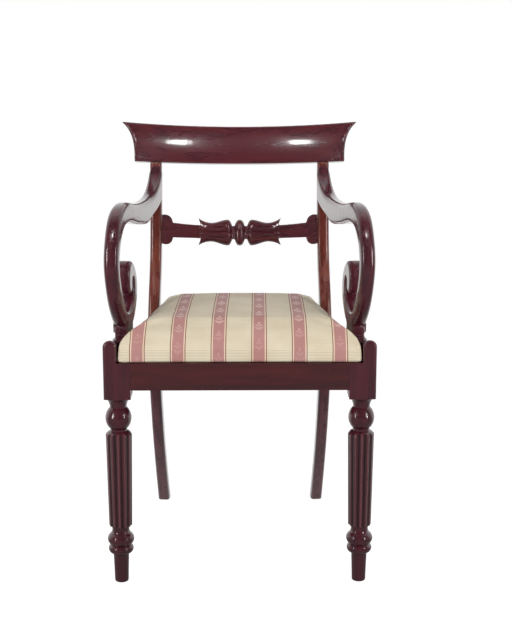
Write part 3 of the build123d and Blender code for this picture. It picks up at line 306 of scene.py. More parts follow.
for vert in bmesh.ops.create_uvsphere(carving, u_segments=48, v_segments=32, radius=1.0)["verts"]:
    fuller = [math.copysign(abs(value) ** BEAD_FULLNESS, value) for value in vert.co]
    vert.co = Vector(fuller) * BEAD + Vector((0.0, RAIL_MIDDLE, 0.0))
turn_of = carving.verts.layers.float.new("turn")
for side in (-1, 1):
    ring = bmesh.ops.create_circle(carving, cap_ends=True, radius=1.0, segments=TULIP_POINTS)["verts"]
    for vert in ring:
        vert[turn_of] = math.atan2(vert.co.y, vert.co.x)
        vert.co = tulip_place(0.0, vert[turn_of], side)
    rim = list({edge for vert in ring for edge in vert.link_edges})
    for step in range(1, TULIP_STEPS + 2):
        grown = bmesh.ops.extrude_edge_only(carving, edges=rim)["geom"]
        rim = [part for part in grown if isinstance(part, bmesh.types.BMEdge) and part.is_boundary]
        for vert in (part for part in grown if isinstance(part, bmesh.types.BMVert)):
            if step <= TULIP_STEPS:
                vert.co = tulip_place(step / TULIP_STEPS, vert[turn_of], side)
            else:
                # The flower's open end is hollowed back to the bar.
                inner = tulip_place(HOLLOW_FLOOR, vert[turn_of], side)
                depth = RAIL_MIDDLE + (inner.y - RAIL_MIDDLE) * HOLLOW_DEPTH
                vert.co = Vector((inner.x, depth, inner.z * HOLLOW_HEIGHT))
    bmesh.ops.edgeloop_fill(carving, edges=rim)
bmesh.ops.recalc_face_normals(carving, faces=carving.faces)
carved_mesh = bpy.data.meshes.new("carving")
carving.to_mesh(carved_mesh)
carving.free()

rail_low, rail_high = (Vector(corner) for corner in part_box("mid_rail"))
rail_middle = Vector((0.0, rail_high.y, (rail_low.z + rail_high.z) / 2)) - RAIL_SET
rail_mesh = remeshed(carved_mesh, CARVING_VOXEL)
rub_down(rail_mesh, CARVING_ROUNDS)
lean = Matrix.Rotation(-RAIL_RAKE, 3, "X")
for vert in rail_mesh.vertices:
    vert.co.y -= RAIL_BOW - math.sqrt(RAIL_BOW ** 2 - vert.co.x ** 2)
    vert.co.z -= RAIL_DIP * (1 - (vert.co.x / RAIL_END) ** 2)
    vert.co = rail_middle + lean @ vert.co
across_mahogany = mahogany("polished_mahogany_across", "X", DEEP_RED)
place_piece("mid_rail_carved", rail_mesh, across_mahogany, "chair", "mahogany", "mid_rail")


# Crest rail: a mahogany plank sawn to a bow, with flared ends and a swelled face.
# It is mortised on to the stiles, and is the widest show of polish on the chair.

polished("crest_rail", across_mahogany)


# Front legs: mahogany squares, left square at the seat with a rounded ear.
# Below it they are turned to a ball, a shaft and rings, and the shaft is carved to twelve reeds.

PLUM_RED = ("#37111c", "#41131e", "#4c1821")
ARRIS_ANGLE = math.radians(32)
REED_COUNT = 12
REED_LEVELS = (0.114, 0.302)
LEG_AXIS = (0.2305, -0.2315)


def smooth_copy(node, material, body, slot):
    """A piece with the shape of a node of the frame, merged and shaded smooth between its arrises."""
    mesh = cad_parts[node].data.copy()
    shape = bmesh.new()
    shape.from_mesh(mesh)
    bmesh.ops.remove_doubles(shape, verts=shape.verts, dist=MERGE_GAP)
    for face in shape.faces:
        face.smooth = True
        face.material_index = 0
    for edge in shape.edges:
        edge.smooth = edge.calc_face_angle(math.pi) < ARRIS_ANGLE
    shape.to_mesh(mesh)
    shape.free()
    piece = place_piece(node + "_finished", mesh, material, body, slot, node)
    even = piece.modifiers.new("Even shading", "WEIGHTED_NORMAL")
    even.keep_sharp = True
    return piece


def paint_reed_light_and_shade(material):
    """Paints shade into the grooves of the reeds and a highlight along their ridges."""
    tree = material.node_tree
    surface = tree.nodes["Principled BSDF"]
    stained = surface.inputs["Base Color"].links[0].from_socket
    place = add(tree, "ShaderNodeTexCoord", {}).outputs["Object"]
    parts = add(tree, "ShaderNodeSeparateXYZ", {"Vector": place}).outputs
    beside = add(tree, "ShaderNodeMath", {0: parts["X"]}, operation="ABSOLUTE")
    beside = add(tree, "ShaderNodeMath", {0: beside, 1: LEG_AXIS[0]}, operation="SUBTRACT")
    behind = add(tree, "ShaderNodeMath", {0: parts["Y"], 1: LEG_AXIS[1]}, operation="SUBTRACT")
    turn = add(tree, "ShaderNodeMath", {0: behind, 1: beside}, operation="ARCTAN2")
    turn = add(tree, "ShaderNodeMath", {0: turn, 1: REED_COUNT}, operation="MULTIPLY")
    # The wave is highest along a ridge and lowest along a groove.
    wave = add(tree, "ShaderNodeMath", {0: turn}, operation="COSINE")
    above = add(tree, "ShaderNodeMath", {0: parts["Z"], 1: REED_LEVELS[0]}, operation="GREATER_THAN")
    below = add(tree, "ShaderNodeMath", {0: parts["Z"], 1: REED_LEVELS[1]}, operation="LESS_THAN")
    reeded = add(tree, "ShaderNodeMath", {0: above, 1: below}, operation="MULTIPLY")
    # Painted highlight: the ridges of the reeds are painted lighter.
    ridge = {"Value": wave, "From Min": 0.3, "From Max": 1.0, "To Max": 0.4}
    ridge = add(tree, "ShaderNodeMapRange", ridge)
    ridge = add(tree, "ShaderNodeMath", {0: ridge, 1: reeded}, operation="MULTIPLY")
    # Painted shade: the grooves between the reeds are painted dark.
    groove = {"Value": wave, "From Min": 0.1, "From Max": -0.9, "To Max": 0.7}
    groove = add(tree, "ShaderNodeMapRange", groove)
    groove = add(tree, "ShaderNodeMath", {0: groove, 1: reeded}, operation="MULTIPLY")
    rubbed = {0: ridge, 6: stained, 7: linear("#7a4f52")}
    rubbed = add(tree, "ShaderNodeMix", rubbed, data_type="RGBA").outputs[2]
    painted_reed_shading = {0: groove, 6: rubbed, 7: linear("#1a0d10")}
    painted_reed_shading = add(tree, "ShaderNodeMix", painted_reed_shading, data_type="RGBA").outputs[2]
    fill(surface, {"Base Color": painted_reed_shading})
    return material


reeded_mahogany = paint_reed_light_and_shade(mahogany("polished_mahogany_reeds", "Z", PLUM_RED))
for side in ("left", "right"):
    smooth_copy("front_leg_" + side, reeded_mahogany, "chair", "mahogany")


# Seat rails: four mahogany rails tenoned and glued into the legs, with their grain along their length.
# The side and rear ones are rebated for the seat.

BROWN_RED = ("#350f12", "#3f1115", "#4a1617")
crosswise_mahogany = mahogany("polished_mahogany_crosswise", "X", BROWN_RED)
lengthwise_mahogany = mahogany("polished_mahogany_lengthwise", "Y", BROWN_RED)
for end in ("front", "rear"):
    smooth_copy(end + "_seat_rail", crosswise_mahogany, "chair", "mahogany")
for side in ("left", "right"):
    smooth_copy("side_seat_rail_" + side, lengthwise_mahogany, "chair", "mahogany")


# Corner blocks: unfinished beech braces, glued into the corners of the rails and screwed from inside.
# Beech is pale and plain, with short darker flecks.

# Width of a growth ring and of a fleck in millimetres; flecks are coarser than life, to show.
RING_WIDTH = 9
FLECK_WIDTH = 1.2
BEECH_STRETCH = 0.15
# Size of a dulled patch of steel in millimetres.
DULL_PATCH = 3


def beech(name):
    """Planed, unfinished beech: pale tan with fine darker flecks and a dry, matt surface."""
    material, tree, surface = new_material(name)
    place = add(tree, "ShaderNodeTexCoord", {}).outputs["Object"]
    grain = add(tree, "ShaderNodeMapping", {"Vector": place, "Scale": (BEECH_STRETCH, 1.0, 1.0)})
    rings = add(tree, "ShaderNodeTexNoise", {"Vector": grain, "Scale": 1000 / RING_WIDTH, "Detail": 3.0})
    flecks = {"Vector": grain, "Scale": 1000 / FLECK_WIDTH, "Detail": 1.0}
    flecks = add(tree, "ShaderNodeTexNoise", flecks)
    tans = [(0.3, "#a37a50"), (0.5, "#b98f63"), (0.7, "#c7a074")]
    tan = add(tree, "ShaderNodeValToRGB", {"Fac": rings}, tans)
    dark = add(tree, "ShaderNodeValToRGB", {"Fac": flecks}, [(0.34, "#8a6a4c"), (0.44, "#ffffff")])
    wood = {0: 0.6, 6: tan, 7: dark}
    finish = {
        "Base Color": add(tree, "ShaderNodeMix", wood, data_type="RGBA", blend_type="MULTIPLY").outputs[2],
        "Roughness": add(tree, "ShaderNodeMapRange", {"Value": rings, "To Min": 0.55, "To Max": 0.75}),
        "Normal": add(tree, "ShaderNodeBump", {"Strength": 0.15, "Distance": 0.0004, "Height": flecks}),
    }
    fill(surface, finish)
    return material


def dress(material, *nodes):
    """Gives nodes of the frame, whose shapes stay, their finish."""
    for name in nodes:
        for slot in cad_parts[name].material_slots:
            slot.material = material


def worn_metal(name, bright, dull, smoothest, roughest):
    """Bare or blued steel, handled and dulled in small patches."""
    material, tree, surface = new_material(name)
    place = add(tree, "ShaderNodeTexCoord", {}).outputs["Object"]
    patches = {"Vector": place, "Scale": 1000 / DULL_PATCH, "Detail": 4.0}
    patches = add(tree, "ShaderNodeTexNoise", patches)
    gloss = {"Value": patches, "To Min": roughest, "To Max": smoothest}
    finish = {
        "Base Color": add(tree, "ShaderNodeValToRGB", {"Fac": patches}, [(0.35, dull), (0.65, bright)]),
        "Roughness": add(tree, "ShaderNodeMapRange", gloss),
        "Normal": add(tree, "ShaderNodeBump", {"Strength": 0.1, "Distance": 0.0002, "Height": patches}),
        "Metallic": 1.0,
    }
    fill(surface, finish)
    return material


planed_beech = beech("planed_beech")
screw_steel = worn_metal("bare_screw_steel", "#a9a59d", "#6f6a63", 0.28, 0.5)
for end in ("front", "rear"):
    dress(planed_beech, "corner_block_" + end + "_left", "corner_block_" + end + "_right")
dress(screw_steel, "corner_block_screws")


# Arms: mahogany planks scroll-sawn to an open C and a volute, with their edges rounded over.
# Each is pegged to the side rail with two beech dowels and held to the stile by a screw under a pellet.

upright_mahogany = mahogany("polished_mahogany_upright", "Z", PLUM_RED)
for side in ("left", "right"):
    polished("arm_" + side, upright_mahogany)
dress(planed_beech, "arm_dowels")
dress(screw_steel, "arm_screws")
dress(lengthwise_mahogany, "screw_pellets")


# Seat frame: four beech rails, dowelled to each other at the corners.
# The frame drops on to the ledges of the seat rails and carries everything above and below it.

dress(planed_beech, "seat_frame_front", "seat_frame_rear", "seat_frame_left", "seat_frame_right")
dress(planed_beech, "seat_frame_dowels")


# Webbing and hessian: jute straps stretched over the frame both ways and tacked.
# A coarse cloth over them carries the stuffing.

def plain_weave(name, warp, weft, spacing, depth):
    """Dull spun yarn in plain weave: two sets of threads, a spacing apart in millimetres."""
    material, tree, surface = new_material(name)
    place = add(tree, "ShaderNodeTexCoord", {}).outputs["Object"]
    # A wave repeats every tenth of pi divided by its scale.
    scale = math.pi / 10 * 1000 / spacing
    uneven = {"Vector": place, "Scale": scale, "Distortion": 0.6, "Detail": 1.0}
    warps = add(tree, "ShaderNodeTexWave", uneven, bands_direction="X").outputs["Fac"]
    wefts = add(tree, "ShaderNodeTexWave", uneven, bands_direction="Y").outputs["Fac"]
    over = add(tree, "ShaderNodeMath", {0: warps, 1: wefts}, operation="GREATER_THAN")
    height = add(tree, "ShaderNodeMath", {0: warps, 1: wefts}, operation="MAXIMUM")
    dyed = {0: over, 6: linear(weft), 7: linear(warp)}
    dyed = add(tree, "ShaderNodeMix", dyed, data_type="RGBA").outputs[2]
    # Painted shade: the low places between the threads are painted darker.
    painted_thread_shade = add(tree, "ShaderNodeValToRGB", {"Fac": height}, [(0.3, "#4a4a4a"), (0.8, "#ffffff")])
    cloth = {0: 0.8, 6: dyed, 7: painted_thread_shade}
    relief = {"Strength": 0.6, "Distance": depth / 1000, "Height": height}
    finish = {
        "Base Color": add(tree, "ShaderNodeMix", cloth, data_type="RGBA", blend_type="MULTIPLY").outputs[2],
        "Roughness": add(tree, "ShaderNodeMapRange", {"Value": height, "To Min": 0.95, "To Max": 0.8}),
        "Normal": add(tree, "ShaderNodeBump", relief),
        "Sheen Weight": 0.1,
    }
    fill(surface, finish)
    return material


jute = plain_weave("jute_webbing", "#a58a5f", "#8d7550", 2.4, 0.4)
smooth_copy("webbing_lengthwise", jute, "seat", "webbing")
smooth_copy("webbing_crosswise", jute, "seat", "webbing")
coarse_jute = plain_weave("hessian", "#a98f63", "#94794f", 1.8, 0.3)
hessian = smooth_copy("seat_hessian", coarse_jute, "seat", "hessian")


# Stuffed cover: a woven silk and cotton stripe, pulled over a crowned pad of hair and wadding.
# It is lapped under the frame, and cut with its stripes running from front to back.

PAD_VOXEL = 0.005
PAD_CORNER = 0.007
PAD_FULL = 0.0012
# At its foot the pad is fuller by its laps, and beside the ears by what fills the gap there.
LAP_FULL = 0.0014
LAP_SHARE = 0.35
EAR_FILL = 0.0036
EAR_REACH = (0.020, 0.050)
PAD_REAR_HALF = 0.1644
FRONT_WALL = 0.030
SIDE_WALL = 0.038
SIDE_SHOULDER = 0.032
FRONT_SHOULDER = 0.060
SHOULDER_CURVE = 2.9
CORNER_BLEND = 8.0
CROWN = 0.008
DRAW_IN = 0.0025
SLACK = 0.90
PRESSURE = 4.0
SWELL_LIMIT = 0.006
SWELL_STEPS = 20
LEAST_MOVE = 0.000001
PAD_ROUNDS = 2
# Shares of the front wall's height: held below the first, loose above the second, smoothed above the third.
HELD_BELOW = 0.5
LOOSE_ABOVE = 1.3
SMOOTHED_ABOVE = 0.6
# A shallow dip where each side of the pad has settled: middle, half sizes and depth.
DIP_MIDDLE = (0.148, -0.118)
DIP_HALF = (0.040, 0.018)
DIP_DEPTH = 0.0034
# The cloth lies a little askew, from the front to the back, and is gathered a little at the back.
CLOTH_ASKEW = (-0.0022, 0.0041)
CLOTH_GATHER = 0.033
# The cloth turns down at the sides: from this height, this near the edge, and this far from the front.
SIDE_TURN = 0.055
SIDE_EDGE = 0.014
SIDE_START = (0.006, 0.030)
# Sizes of the weave in millimetres; threads are drawn coarser than life, to show.
STRIPE_PITCH = 75.9
PINK_HALF = 10.6
PALE_LINE = 2.2
DARK_LINE = 1.7
SOFT_EDGE = 0.35
RIB_PITCH = 5.7
THREAD_PITCH = 1.1
FADED_PATCH = 60
SPRIG_PITCH = 64.0
SPRIG_SHIFT = 27.0
# The sprigs are painted paler on the top for their sheen there; this painted sheen fades from this place on
# the cloth to the front edge.
SPRIG_SHEEN_FROM = -180.0
SPRIG_SHEEN_TO = -265.0
# Leaves of the sprig in millimetres: middle across and along the stripe, turn, half length and half width.
SPRIG_LEAVES = (
    (3.8, -7.0, 0.9, 6.6, 2.6),
    (3.2, 5.0, 0.9, 5.0, 2.2),
    (0.0, 14.0, 1.57, 5.5, 2.4),
    (0.0, -9.0, 1.57, 8.0, 0.9),
)

pad_low, pad_high = (Vector(corner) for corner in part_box("seat_cover"))
pad_middle = (pad_low.y + pad_high.y) / 2
pad_reach = (pad_high.y - pad_low.y) / 2
pad_rise = pad_high.z - pad_low.z


def pad_half(y):
    """Half of the pad's width at a depth."""
    return pad_high.x + (PAD_REAR_HALF - pad_high.x) * (y - pad_low.y) / (pad_high.y - pad_low.y)


def pad_top(x, y, fullness):
    """Height of the pad above the ledge: upright walls, rounded shoulders and a low crown."""
    half = pad_half(y)
    brow = pad_rise - CROWN
    edges = (
        (half - abs(x), SIDE_SHOULDER, SIDE_WALL),
        (y - pad_low.y, FRONT_SHOULDER, FRONT_WALL),
        (pad_high.y - y, SIDE_SHOULDER, SIDE_WALL),
    )
    falls = 0.0
    for inside, shoulder, wall in edges:
        share = 1 - min(max(inside / shoulder, 0.0), 1.0)
        falls += ((brow - wall) * share ** SHOULDER_CURVE) ** CORNER_BLEND
    crown = max(0.0, (1 - (x / half) ** 2) * (1 - ((y - pad_middle) / pad_reach) ** 2))
    away = ((abs(x) - DIP_MIDDLE[0]) / DIP_HALF[0]) ** 2 + ((y - DIP_MIDDLE[1]) / DIP_HALF[1]) ** 2
    dip = DIP_DEPTH * math.exp(-away)
    full = brow - falls ** (1 / CORNER_BLEND) + CROWN * crown - dip
    return FRONT_WALL + fullness * (full - FRONT_WALL)


shape = bmesh.new()
bmesh.ops.create_cube(shape, size=1.0)
for vert in shape.verts:
    y = pad_middle + 2 * pad_reach * vert.co.y
    vert.co = Vector((2 * pad_half(y) * vert.co.x, y, pad_low.z + FRONT_WALL * (vert.co.z + 0.5)))
upright = [edge for edge in shape.edges if abs(edge.verts[0].co.z - edge.verts[1].co.z) > FRONT_WALL / 2]
bmesh.ops.bevel(
    shape, geom=upright, offset=PAD_CORNER, affect="EDGES", segments=4, profile=0.5, material=-1
)
pad_mesh = bpy.data.meshes.new("pad_block")
shape.to_mesh(pad_mesh)
shape.free()
pad_mesh = remeshed(pad_mesh, PAD_VOXEL)
fullness = SLACK
for vert in pad_mesh.vertices:
    share = (vert.co.z - pad_low.z) / FRONT_WALL
    depth_share = (vert.co.y - pad_middle) / pad_reach
    width_share = vert.co.x / pad_half(vert.co.y)
    vert.co.z = pad_low.z + share * pad_top(vert.co.x, vert.co.y, fullness)
    beside_ear = 1 - soft_step(*EAR_REACH, vert.co.y - pad_low.y)
    # The cover turns under at a crisp edge, and draws in a little between the corners.
    full = PAD_FULL + LAP_FULL * (1 - soft_step(0.0, LAP_SHARE, share))
    vert.co.x += width_share * (full + EAR_FILL * beside_ear - DRAW_IN * max(0.0, 1 - depth_share ** 2))
    vert.co.y += depth_share * (full - DRAW_IN * max(0.0, 1 - width_share ** 2))
pad_mesh.polygons.foreach_set("use_smooth", [True] * len(pad_mesh.polygons))

# Pressure swells the pad while its underside and walls are held, as stuffing strains a cover.
swelling = bpy.data.objects.new("swelling_pad", pad_mesh)
bpy.context.scene.collection.objects.link(swelling)
held = swelling.vertex_groups.new(name="held")
for vert in pad_mesh.vertices:
    loose = soft_step(HELD_BELOW * FRONT_WALL, LOOSE_ABOVE * FRONT_WALL, vert.co.z - pad_low.z)
    held.add([vert.index], 1.0 - loose, "REPLACE")
cloth = swelling.modifiers.new("Cloth", "CLOTH")
cloth.settings.quality = 6
cloth.settings.mass = 0.3
cloth.settings.use_pressure = True
cloth.settings.uniform_pressure_force = PRESSURE
cloth.settings.vertex_group_mass = "held"
cloth.settings.effector_weights.gravity = 0.0
cloth.point_cache.frame_start = 1
cloth.point_cache.frame_end = SWELL_STEPS
for moment in range(1, SWELL_STEPS + 1):
    bpy.context.scene.frame_set(moment)
swelled = swelling.evaluated_get(bpy.context.evaluated_depsgraph_get()).data
moves = [new.co - old.co for new, old in zip(swelled.vertices, pad_mesh.vertices)]
for vert, move in zip(pad_mesh.vertices, moves):
    vert.co += move * min(1.0, SWELL_LIMIT / max(move.length, LEAST_MOVE))
bpy.data.objects.remove(swelling)
bpy.context.scene.frame_set(1)
rub_down(pad_mesh, PAD_ROUNDS, pad_low.z + SMOOTHED_ABOVE * FRONT_WALL)

# The weave map gives each point its place on the flat cloth, in metres: across the stripes and along them.
shape = bmesh.new()
shape.from_mesh(pad_mesh)
weave_map = shape.loops.layers.uv.new("weave")
for face in shape.faces:
    for corner in face.loops:
        place = corner.vert.co
        drop = pad_high.z - place.z
        near_front = 1 - soft_step(pad_low.y + FRONT_SHOULDER / 2, pad_low.y + 2 * FRONT_SHOULDER, place.y)
        back = (place.y - pad_low.y) / (pad_high.y - pad_low.y)
        askew = CLOTH_ASKEW[0] + (CLOTH_ASKEW[1] - CLOTH_ASKEW[0]) * back
        across = (place.x - askew) / (1 - CLOTH_GATHER * back)
        # At the sides the cloth runs on down the wall.
        at_side = 1 - soft_step(0.0, SIDE_EDGE, pad_half(place.y) - abs(place.x))
        at_side *= soft_step(*SIDE_START, place.y - pad_low.y)
        across += math.copysign(at_side * max(0.0, pad_low.z + SIDE_TURN - place.z), place.x)
        corner[weave_map].uv = (across, place.y - drop * near_front)
shape.to_mesh(pad_mesh)
shape.free()


def striped_silk():
    """Silk and cotton stripe: satin pink with woven sprigs, edged in two lines, on ribbed cream."""
    material, tree, surface = new_material("striped_silk_and_cotton")
    place = add(tree, "ShaderNodeUVMap", {}, uv_map="weave")
    flat = add(tree, "ShaderNodeVectorMath", {0: place, "Scale": 1000.0}, operation="SCALE")
    parts = add(tree, "ShaderNodeSeparateXYZ", {"Vector": flat}).outputs
    across = add(tree, "ShaderNodeMath", {0: parts["X"], 1: STRIPE_PITCH}, operation="DIVIDE")
    away = add(tree, "ShaderNodeMath", {0: across}, operation="FRACT")
    away = add(tree, "ShaderNodeMath", {0: away, 1: 0.5}, operation="SUBTRACT")
    away = add(tree, "ShaderNodeMath", {0: away, 1: STRIPE_PITCH}, operation="MULTIPLY")
    away = add(tree, "ShaderNodeMath", {0: away}, operation="ABSOLUTE")
    half = STRIPE_PITCH / 2
    pale_end = PINK_HALF + PALE_LINE
    dark_end = pale_end + DARK_LINE
    bands = [
        ((PINK_HALF - SOFT_EDGE) / half, "#b2827f"),
        ((PINK_HALF + SOFT_EDGE) / half, "#e0cdb4"),
        ((pale_end - SOFT_EDGE) / half, "#e0cdb4"),
        ((pale_end + SOFT_EDGE) / half, "#7c4640"),
        ((dark_end - SOFT_EDGE) / half, "#7c4640"),
        ((dark_end + SOFT_EDGE) / half, "#d9ceb7"),
    ]
    share = add(tree, "ShaderNodeMath", {0: away, 1: half}, operation="DIVIDE")
    stripes = add(tree, "ShaderNodeValToRGB", {"Fac": share}, bands)
    pink = {"Value": away, "From Min": PINK_HALF - SOFT_EDGE, "From Max": PINK_HALF + SOFT_EDGE}
    pink = add(tree, "ShaderNodeMapRange", {**pink, "To Min": 1.0, "To Max": 0.0})
    cream = {"Value": away, "From Min": dark_end, "From Max": dark_end + 2 * SOFT_EDGE}
    cream = add(tree, "ShaderNodeMapRange", cream)
    # Sprigs stand in the satin, stepped along from stripe to stripe.
    along = add(tree, "ShaderNodeMath", {0: across}, operation="FLOOR")
    along = add(tree, "ShaderNodeMath", {0: along, 1: SPRIG_SHIFT}, operation="MULTIPLY")
    along = add(tree, "ShaderNodeMath", {0: parts["Y"], 1: along}, operation="ADD")
    along = add(tree, "ShaderNodeMath", {0: along, 1: SPRIG_PITCH}, operation="DIVIDE")
    along = add(tree, "ShaderNodeMath", {0: along}, operation="FRACT")
    along = add(tree, "ShaderNodeMath", {0: along, 1: 0.5}, operation="SUBTRACT")
    along = add(tree, "ShaderNodeMath", {0: along, 1: SPRIG_PITCH}, operation="MULTIPLY")
    spot = add(tree, "ShaderNodeCombineXYZ", {"X": away, "Y": along})
    nearest = None
    for middle_x, middle_y, turn, long_half, short_half in SPRIG_LEAVES:
        leaf = {
            "Vector": spot,
            "Location": (middle_x, middle_y, 0.0),
            "Rotation": (0.0, 0.0, turn),
            "Scale": (long_half, short_half, 1.0),
        }
        leaf = add(tree, "ShaderNodeMapping", leaf, vector_type="TEXTURE")
        reach = add(tree, "ShaderNodeVectorMath", {0: leaf}, operation="LENGTH").outputs["Value"]
        if nearest is not None:
            reach = add(tree, "ShaderNodeMath", {0: nearest, 1: reach}, operation="MINIMUM")
        nearest = reach
    sprig = {"Value": nearest, "From Min": 0.6, "From Max": 1.3, "To Min": 1.0, "To Max": 0.0}
    sprig = add(tree, "ShaderNodeMapRange", sprig)
    sprig = add(tree, "ShaderNodeMath", {0: sprig, 1: pink}, operation="MULTIPLY")
    # The sprigs are woven, but they are painted paler towards the top and fainter towards the front edge, a
    # painted sheen.
    painted_sprig_sheen = {"Value": parts["Y"], "From Min": SPRIG_SHEEN_TO, "From Max": SPRIG_SHEEN_FROM, "To Min": 0.14, "To Max": 0.65}
    painted_sprig_sheen = add(tree, "ShaderNodeMapRange", painted_sprig_sheen)
    painted_sprig_sheen = add(tree, "ShaderNodeMath", {0: sprig, 1: painted_sprig_sheen}, operation="MULTIPLY")
    figured = {0: painted_sprig_sheen, 6: stripes, 7: linear("#e2cabf")}
    figured = add(tree, "ShaderNodeMix", figured, data_type="RGBA").outputs[2]
    # Ribs cross the cream only.
    rib = add(tree, "ShaderNodeMath", {0: parts["Y"], 1: 2 * math.pi / RIB_PITCH}, operation="MULTIPLY")
    rib = add(tree, "ShaderNodeMath", {0: rib}, operation="COSINE")
    rib = add(tree, "ShaderNodeMapRange", {"Value": rib, "From Min": 0.45, "From Max": 1.0})
    rib = add(tree, "ShaderNodeMath", {0: rib, 1: cream}, operation="MULTIPLY")
    # Painted shade: the sunk grooves between the ribs are painted darker.
    painted_rib_shade = add(tree, "ShaderNodeMath", {0: rib, 1: 0.4}, operation="MULTIPLY")
    ribbed = {0: painted_rib_shade, 6: figured, 7: linear("#ac9f8a")}
    ribbed = add(tree, "ShaderNodeMix", ribbed, data_type="RGBA").outputs[2]
    # Threads are uneven, and the cloth has faded in large soft patches.
    threads = add(tree, "ShaderNodeTexNoise", {"Vector": flat, "Scale": 1 / THREAD_PITCH, "Detail": 2.0})
    spun = add(tree, "ShaderNodeValToRGB", {"Fac": threads}, [(0.3, "#c9c4be"), (0.65, "#ffffff")])
    spun = {0: 0.35, 6: ribbed, 7: spun}
    spun = add(tree, "ShaderNodeMix", spun, data_type="RGBA", blend_type="MULTIPLY").outputs[2]
    aged = add(tree, "ShaderNodeTexNoise", {"Vector": flat, "Scale": 1 / FADED_PATCH, "Detail": 2.0})
    aged = add(tree, "ShaderNodeValToRGB", {"Fac": aged}, [(0.35, "#ebe3d6"), (0.65, "#ffffff")])
    aged = {0: 0.4, 6: spun, 7: aged}
    aged = add(tree, "ShaderNodeMix", aged, data_type="RGBA", blend_type="MULTIPLY").outputs[2]
    # The satin is smoother than the cream, and the sprigs float over it in the glossiest thread.
    gloss = add(tree, "ShaderNodeMath", {0: sprig, 1: 0.15}, operation="MULTIPLY")
    satin = add(tree, "ShaderNodeMapRange", {"Value": pink, "To Min": 0.75, "To Max": 0.62})
    satin = add(tree, "ShaderNodeMath", {0: satin, 1: gloss}, operation="SUBTRACT")
    lifted = add(tree, "ShaderNodeMath", {0: sprig, 1: 0.2}, operation="MULTIPLY")
    sunk = add(tree, "ShaderNodeMath", {0: rib, 1: 0.8}, operation="MULTIPLY")
    raised = add(tree, "ShaderNodeMath", {0: threads, 1: 0.25}, operation="MULTIPLY")
    raised = add(tree, "ShaderNodeMath", {0: raised, 1: lifted}, operation="ADD")
    raised = add(tree, "ShaderNodeMath", {0: raised, 1: sunk}, operation="SUBTRACT")
    finish = {
        "Base Color": aged,
        "Roughness": satin,
        "Normal": add(tree, "ShaderNodeBump", {"Strength": 0.5, "Distance": 0.0006, "Height": raised}),
        "Specular IOR Level": 0.4,
        "Sheen Weight": 0.1,
        "Sheen Roughness": 0.4,
    }
    fill(surface, finish)
    return material


pad = place_piece(
    "seat_pad", pad_mesh, striped_silk(), "seat", "striped_cover", "seat_cover", "seat_stuffing"
)
finer = pad.modifiers.new("Finer", "SUBSURF")
finer.levels = 1
finer.render_levels = 1


# Lining and tacks: a black cotton dust cloth that hides the underside of the frame.
# Blued steel tacks go through it and the cover's laps into the beech.

black_cotton = plain_weave("black_cotton", "#242124", "#1a181a", 1.0, 0.2)
lining = smooth_copy("seat_lining", black_cotton, "seat", "lining")
dress(worn_metal("blued_tack_steel", "#3a3f4c", "#22242b", 0.3, 0.5), "cover_tacks")


# Studio: a white paper floor that runs off to white, and soft lamps in front.
# The camera stands where the photograph was taken from.

FLOOR_HALF = 12.0
PAPER_GLOW = 0.86
ROOM_GLOW = 0.36
ROOM_IN_FRONT = 0.12
WHITE = (1.0, 1.0, 1.0, 1.0)

floor_mesh = bpy.data.meshes.new("studio_floor")
shape = bmesh.new()
bmesh.ops.create_grid(shape, x_segments=1, y_segments=1, size=FLOOR_HALF)
shape.to_mesh(floor_mesh)
shape.free()
studio_floor = bpy.data.objects.new("studio_floor", floor_mesh)
bpy.context.scene.collection.objects.link(studio_floor)
paper, tree, surface = new_material("white_paper")
seen = add(tree, "ShaderNodeLightPath", {}).outputs
spread = add(tree, "ShaderNodeTexCoord", {}).outputs["Object"]
spread = add(tree, "ShaderNodeSeparateXYZ", {"Vector": spread}).outputs["Y"]
behind = add(tree, "ShaderNodeMapRange", {"Value": spread, "From Min": -0.2, "From Max": 0.6})
glow = add(tree, "ShaderNodeMath", {0: seen["Is Glossy Ray"], 1: behind}, operation="MULTIPLY")
glow = add(tree, "ShaderNodeMath", {0: seen["Is Camera Ray"], 1: glow}, operation="MAXIMUM")
glow = add(tree, "ShaderNodeMath", {0: glow, 1: PAPER_GLOW}, operation="MULTIPLY")
finish = {
    "Base Color": linear("#949494"),
    "Roughness": 0.9,
    "Emission Color": WHITE,
    "Emission Strength": glow,
}
fill(surface, finish)
floor_mesh.materials.append(paper)

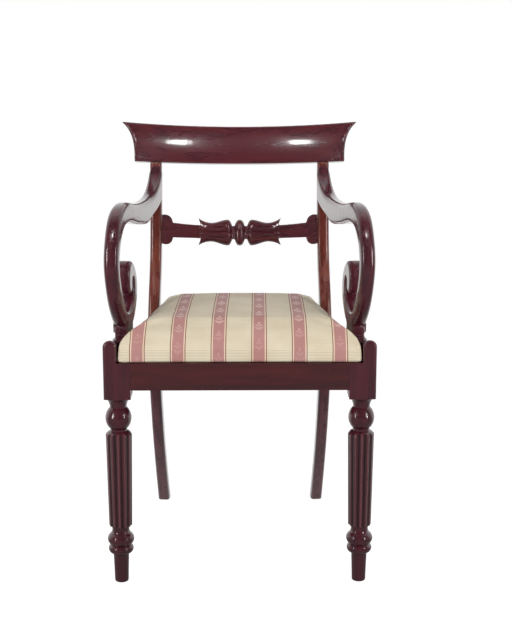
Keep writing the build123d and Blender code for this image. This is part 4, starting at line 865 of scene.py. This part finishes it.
# The paper behind is white to the camera and in the polish; the room in front is dim.
world = bpy.data.worlds.new("studio")
bpy.context.scene.world = world
world.use_nodes = True
tree = world.node_tree
seen = add(tree, "ShaderNodeLightPath", {}).outputs
towards = add(tree, "ShaderNodeTexCoord", {}).outputs["Generated"]
towards = add(tree, "ShaderNodeSeparateXYZ", {"Vector": towards}).outputs["Y"]
depth = {"Value": towards, "From Min": -0.3, "From Max": 0.25, "To Min": ROOM_IN_FRONT, "To Max": 1.0}
depth = add(tree, "ShaderNodeMapRange", depth)
mirrored = add(tree, "ShaderNodeMix", {0: seen["Is Glossy Ray"], 2: ROOM_GLOW, 3: depth})
shown = add(tree, "ShaderNodeMath", {0: mirrored, 1: seen["Is Camera Ray"]}, operation="MAXIMUM")
fill(tree.nodes["Background"], {"Color": WHITE, "Strength": shown})

# Two large lamps light the front; upright strips and two small lamps show in the polish.
# Each has its place, aim, size, power and spread.
LAMPS = (
    ("left_lamp", (-1.75, -2.0, 1.55), (0.0, 0.0, 0.5), (0.8, 0.8), 32.0, math.pi),
    ("right_lamp", (1.75, -2.0, 1.55), (0.0, 0.0, 0.5), (0.8, 0.8), 32.0, math.pi),
    ("left_strip", (-1.19, -1.10, 0.75), (-0.22, -0.15, 0.5), (0.10, 0.9), 0.9, math.radians(60)),
    ("right_strip", (1.19, -1.10, 0.75), (0.22, -0.15, 0.5), (0.10, 0.9), 0.9, math.radians(60)),
    ("left_crest_lamp", (-0.72, -1.45, 2.07), (-0.13, 0.2, 0.81), (0.25, 0.25), 0.3, math.radians(30)),
    ("right_crest_lamp", (0.72, -1.45, 2.07), (0.13, 0.2, 0.81), (0.25, 0.25), 0.3, math.radians(30)),
)
for name, place, aim, size, power, spread in LAMPS:
    lamp = bpy.data.lights.new(name, "AREA")
    lamp.shape = "RECTANGLE"
    lamp.size, lamp.size_y = size
    lamp.energy = power
    lamp.spread = spread
    lamp_object = bpy.data.objects.new(name, lamp)
    lamp_object.location = place
    lamp_object.rotation_euler = (Vector(aim) - Vector(place)).to_track_quat("-Z", "Y").to_euler()
    # The large lamps would show as squares in the polish.
    lamp_object.visible_glossy = spread < math.pi
    bpy.context.scene.collection.objects.link(lamp_object)

camera = bpy.data.cameras.new("camera")
camera.sensor_fit = "VERTICAL"
camera.sensor_height = 36.0
camera.lens = 77.75
camera_object = bpy.data.objects.new("camera", camera)
camera_object.location = (0.0, -2.7518, 1.0730)
camera_object.rotation_euler = (math.pi / 2 - 0.21616, -0.00065, -0.01186)
bpy.context.scene.collection.objects.link(camera_object)
bpy.context.scene.camera = camera_object
bpy.context.scene.view_settings.view_transform = "Standard"
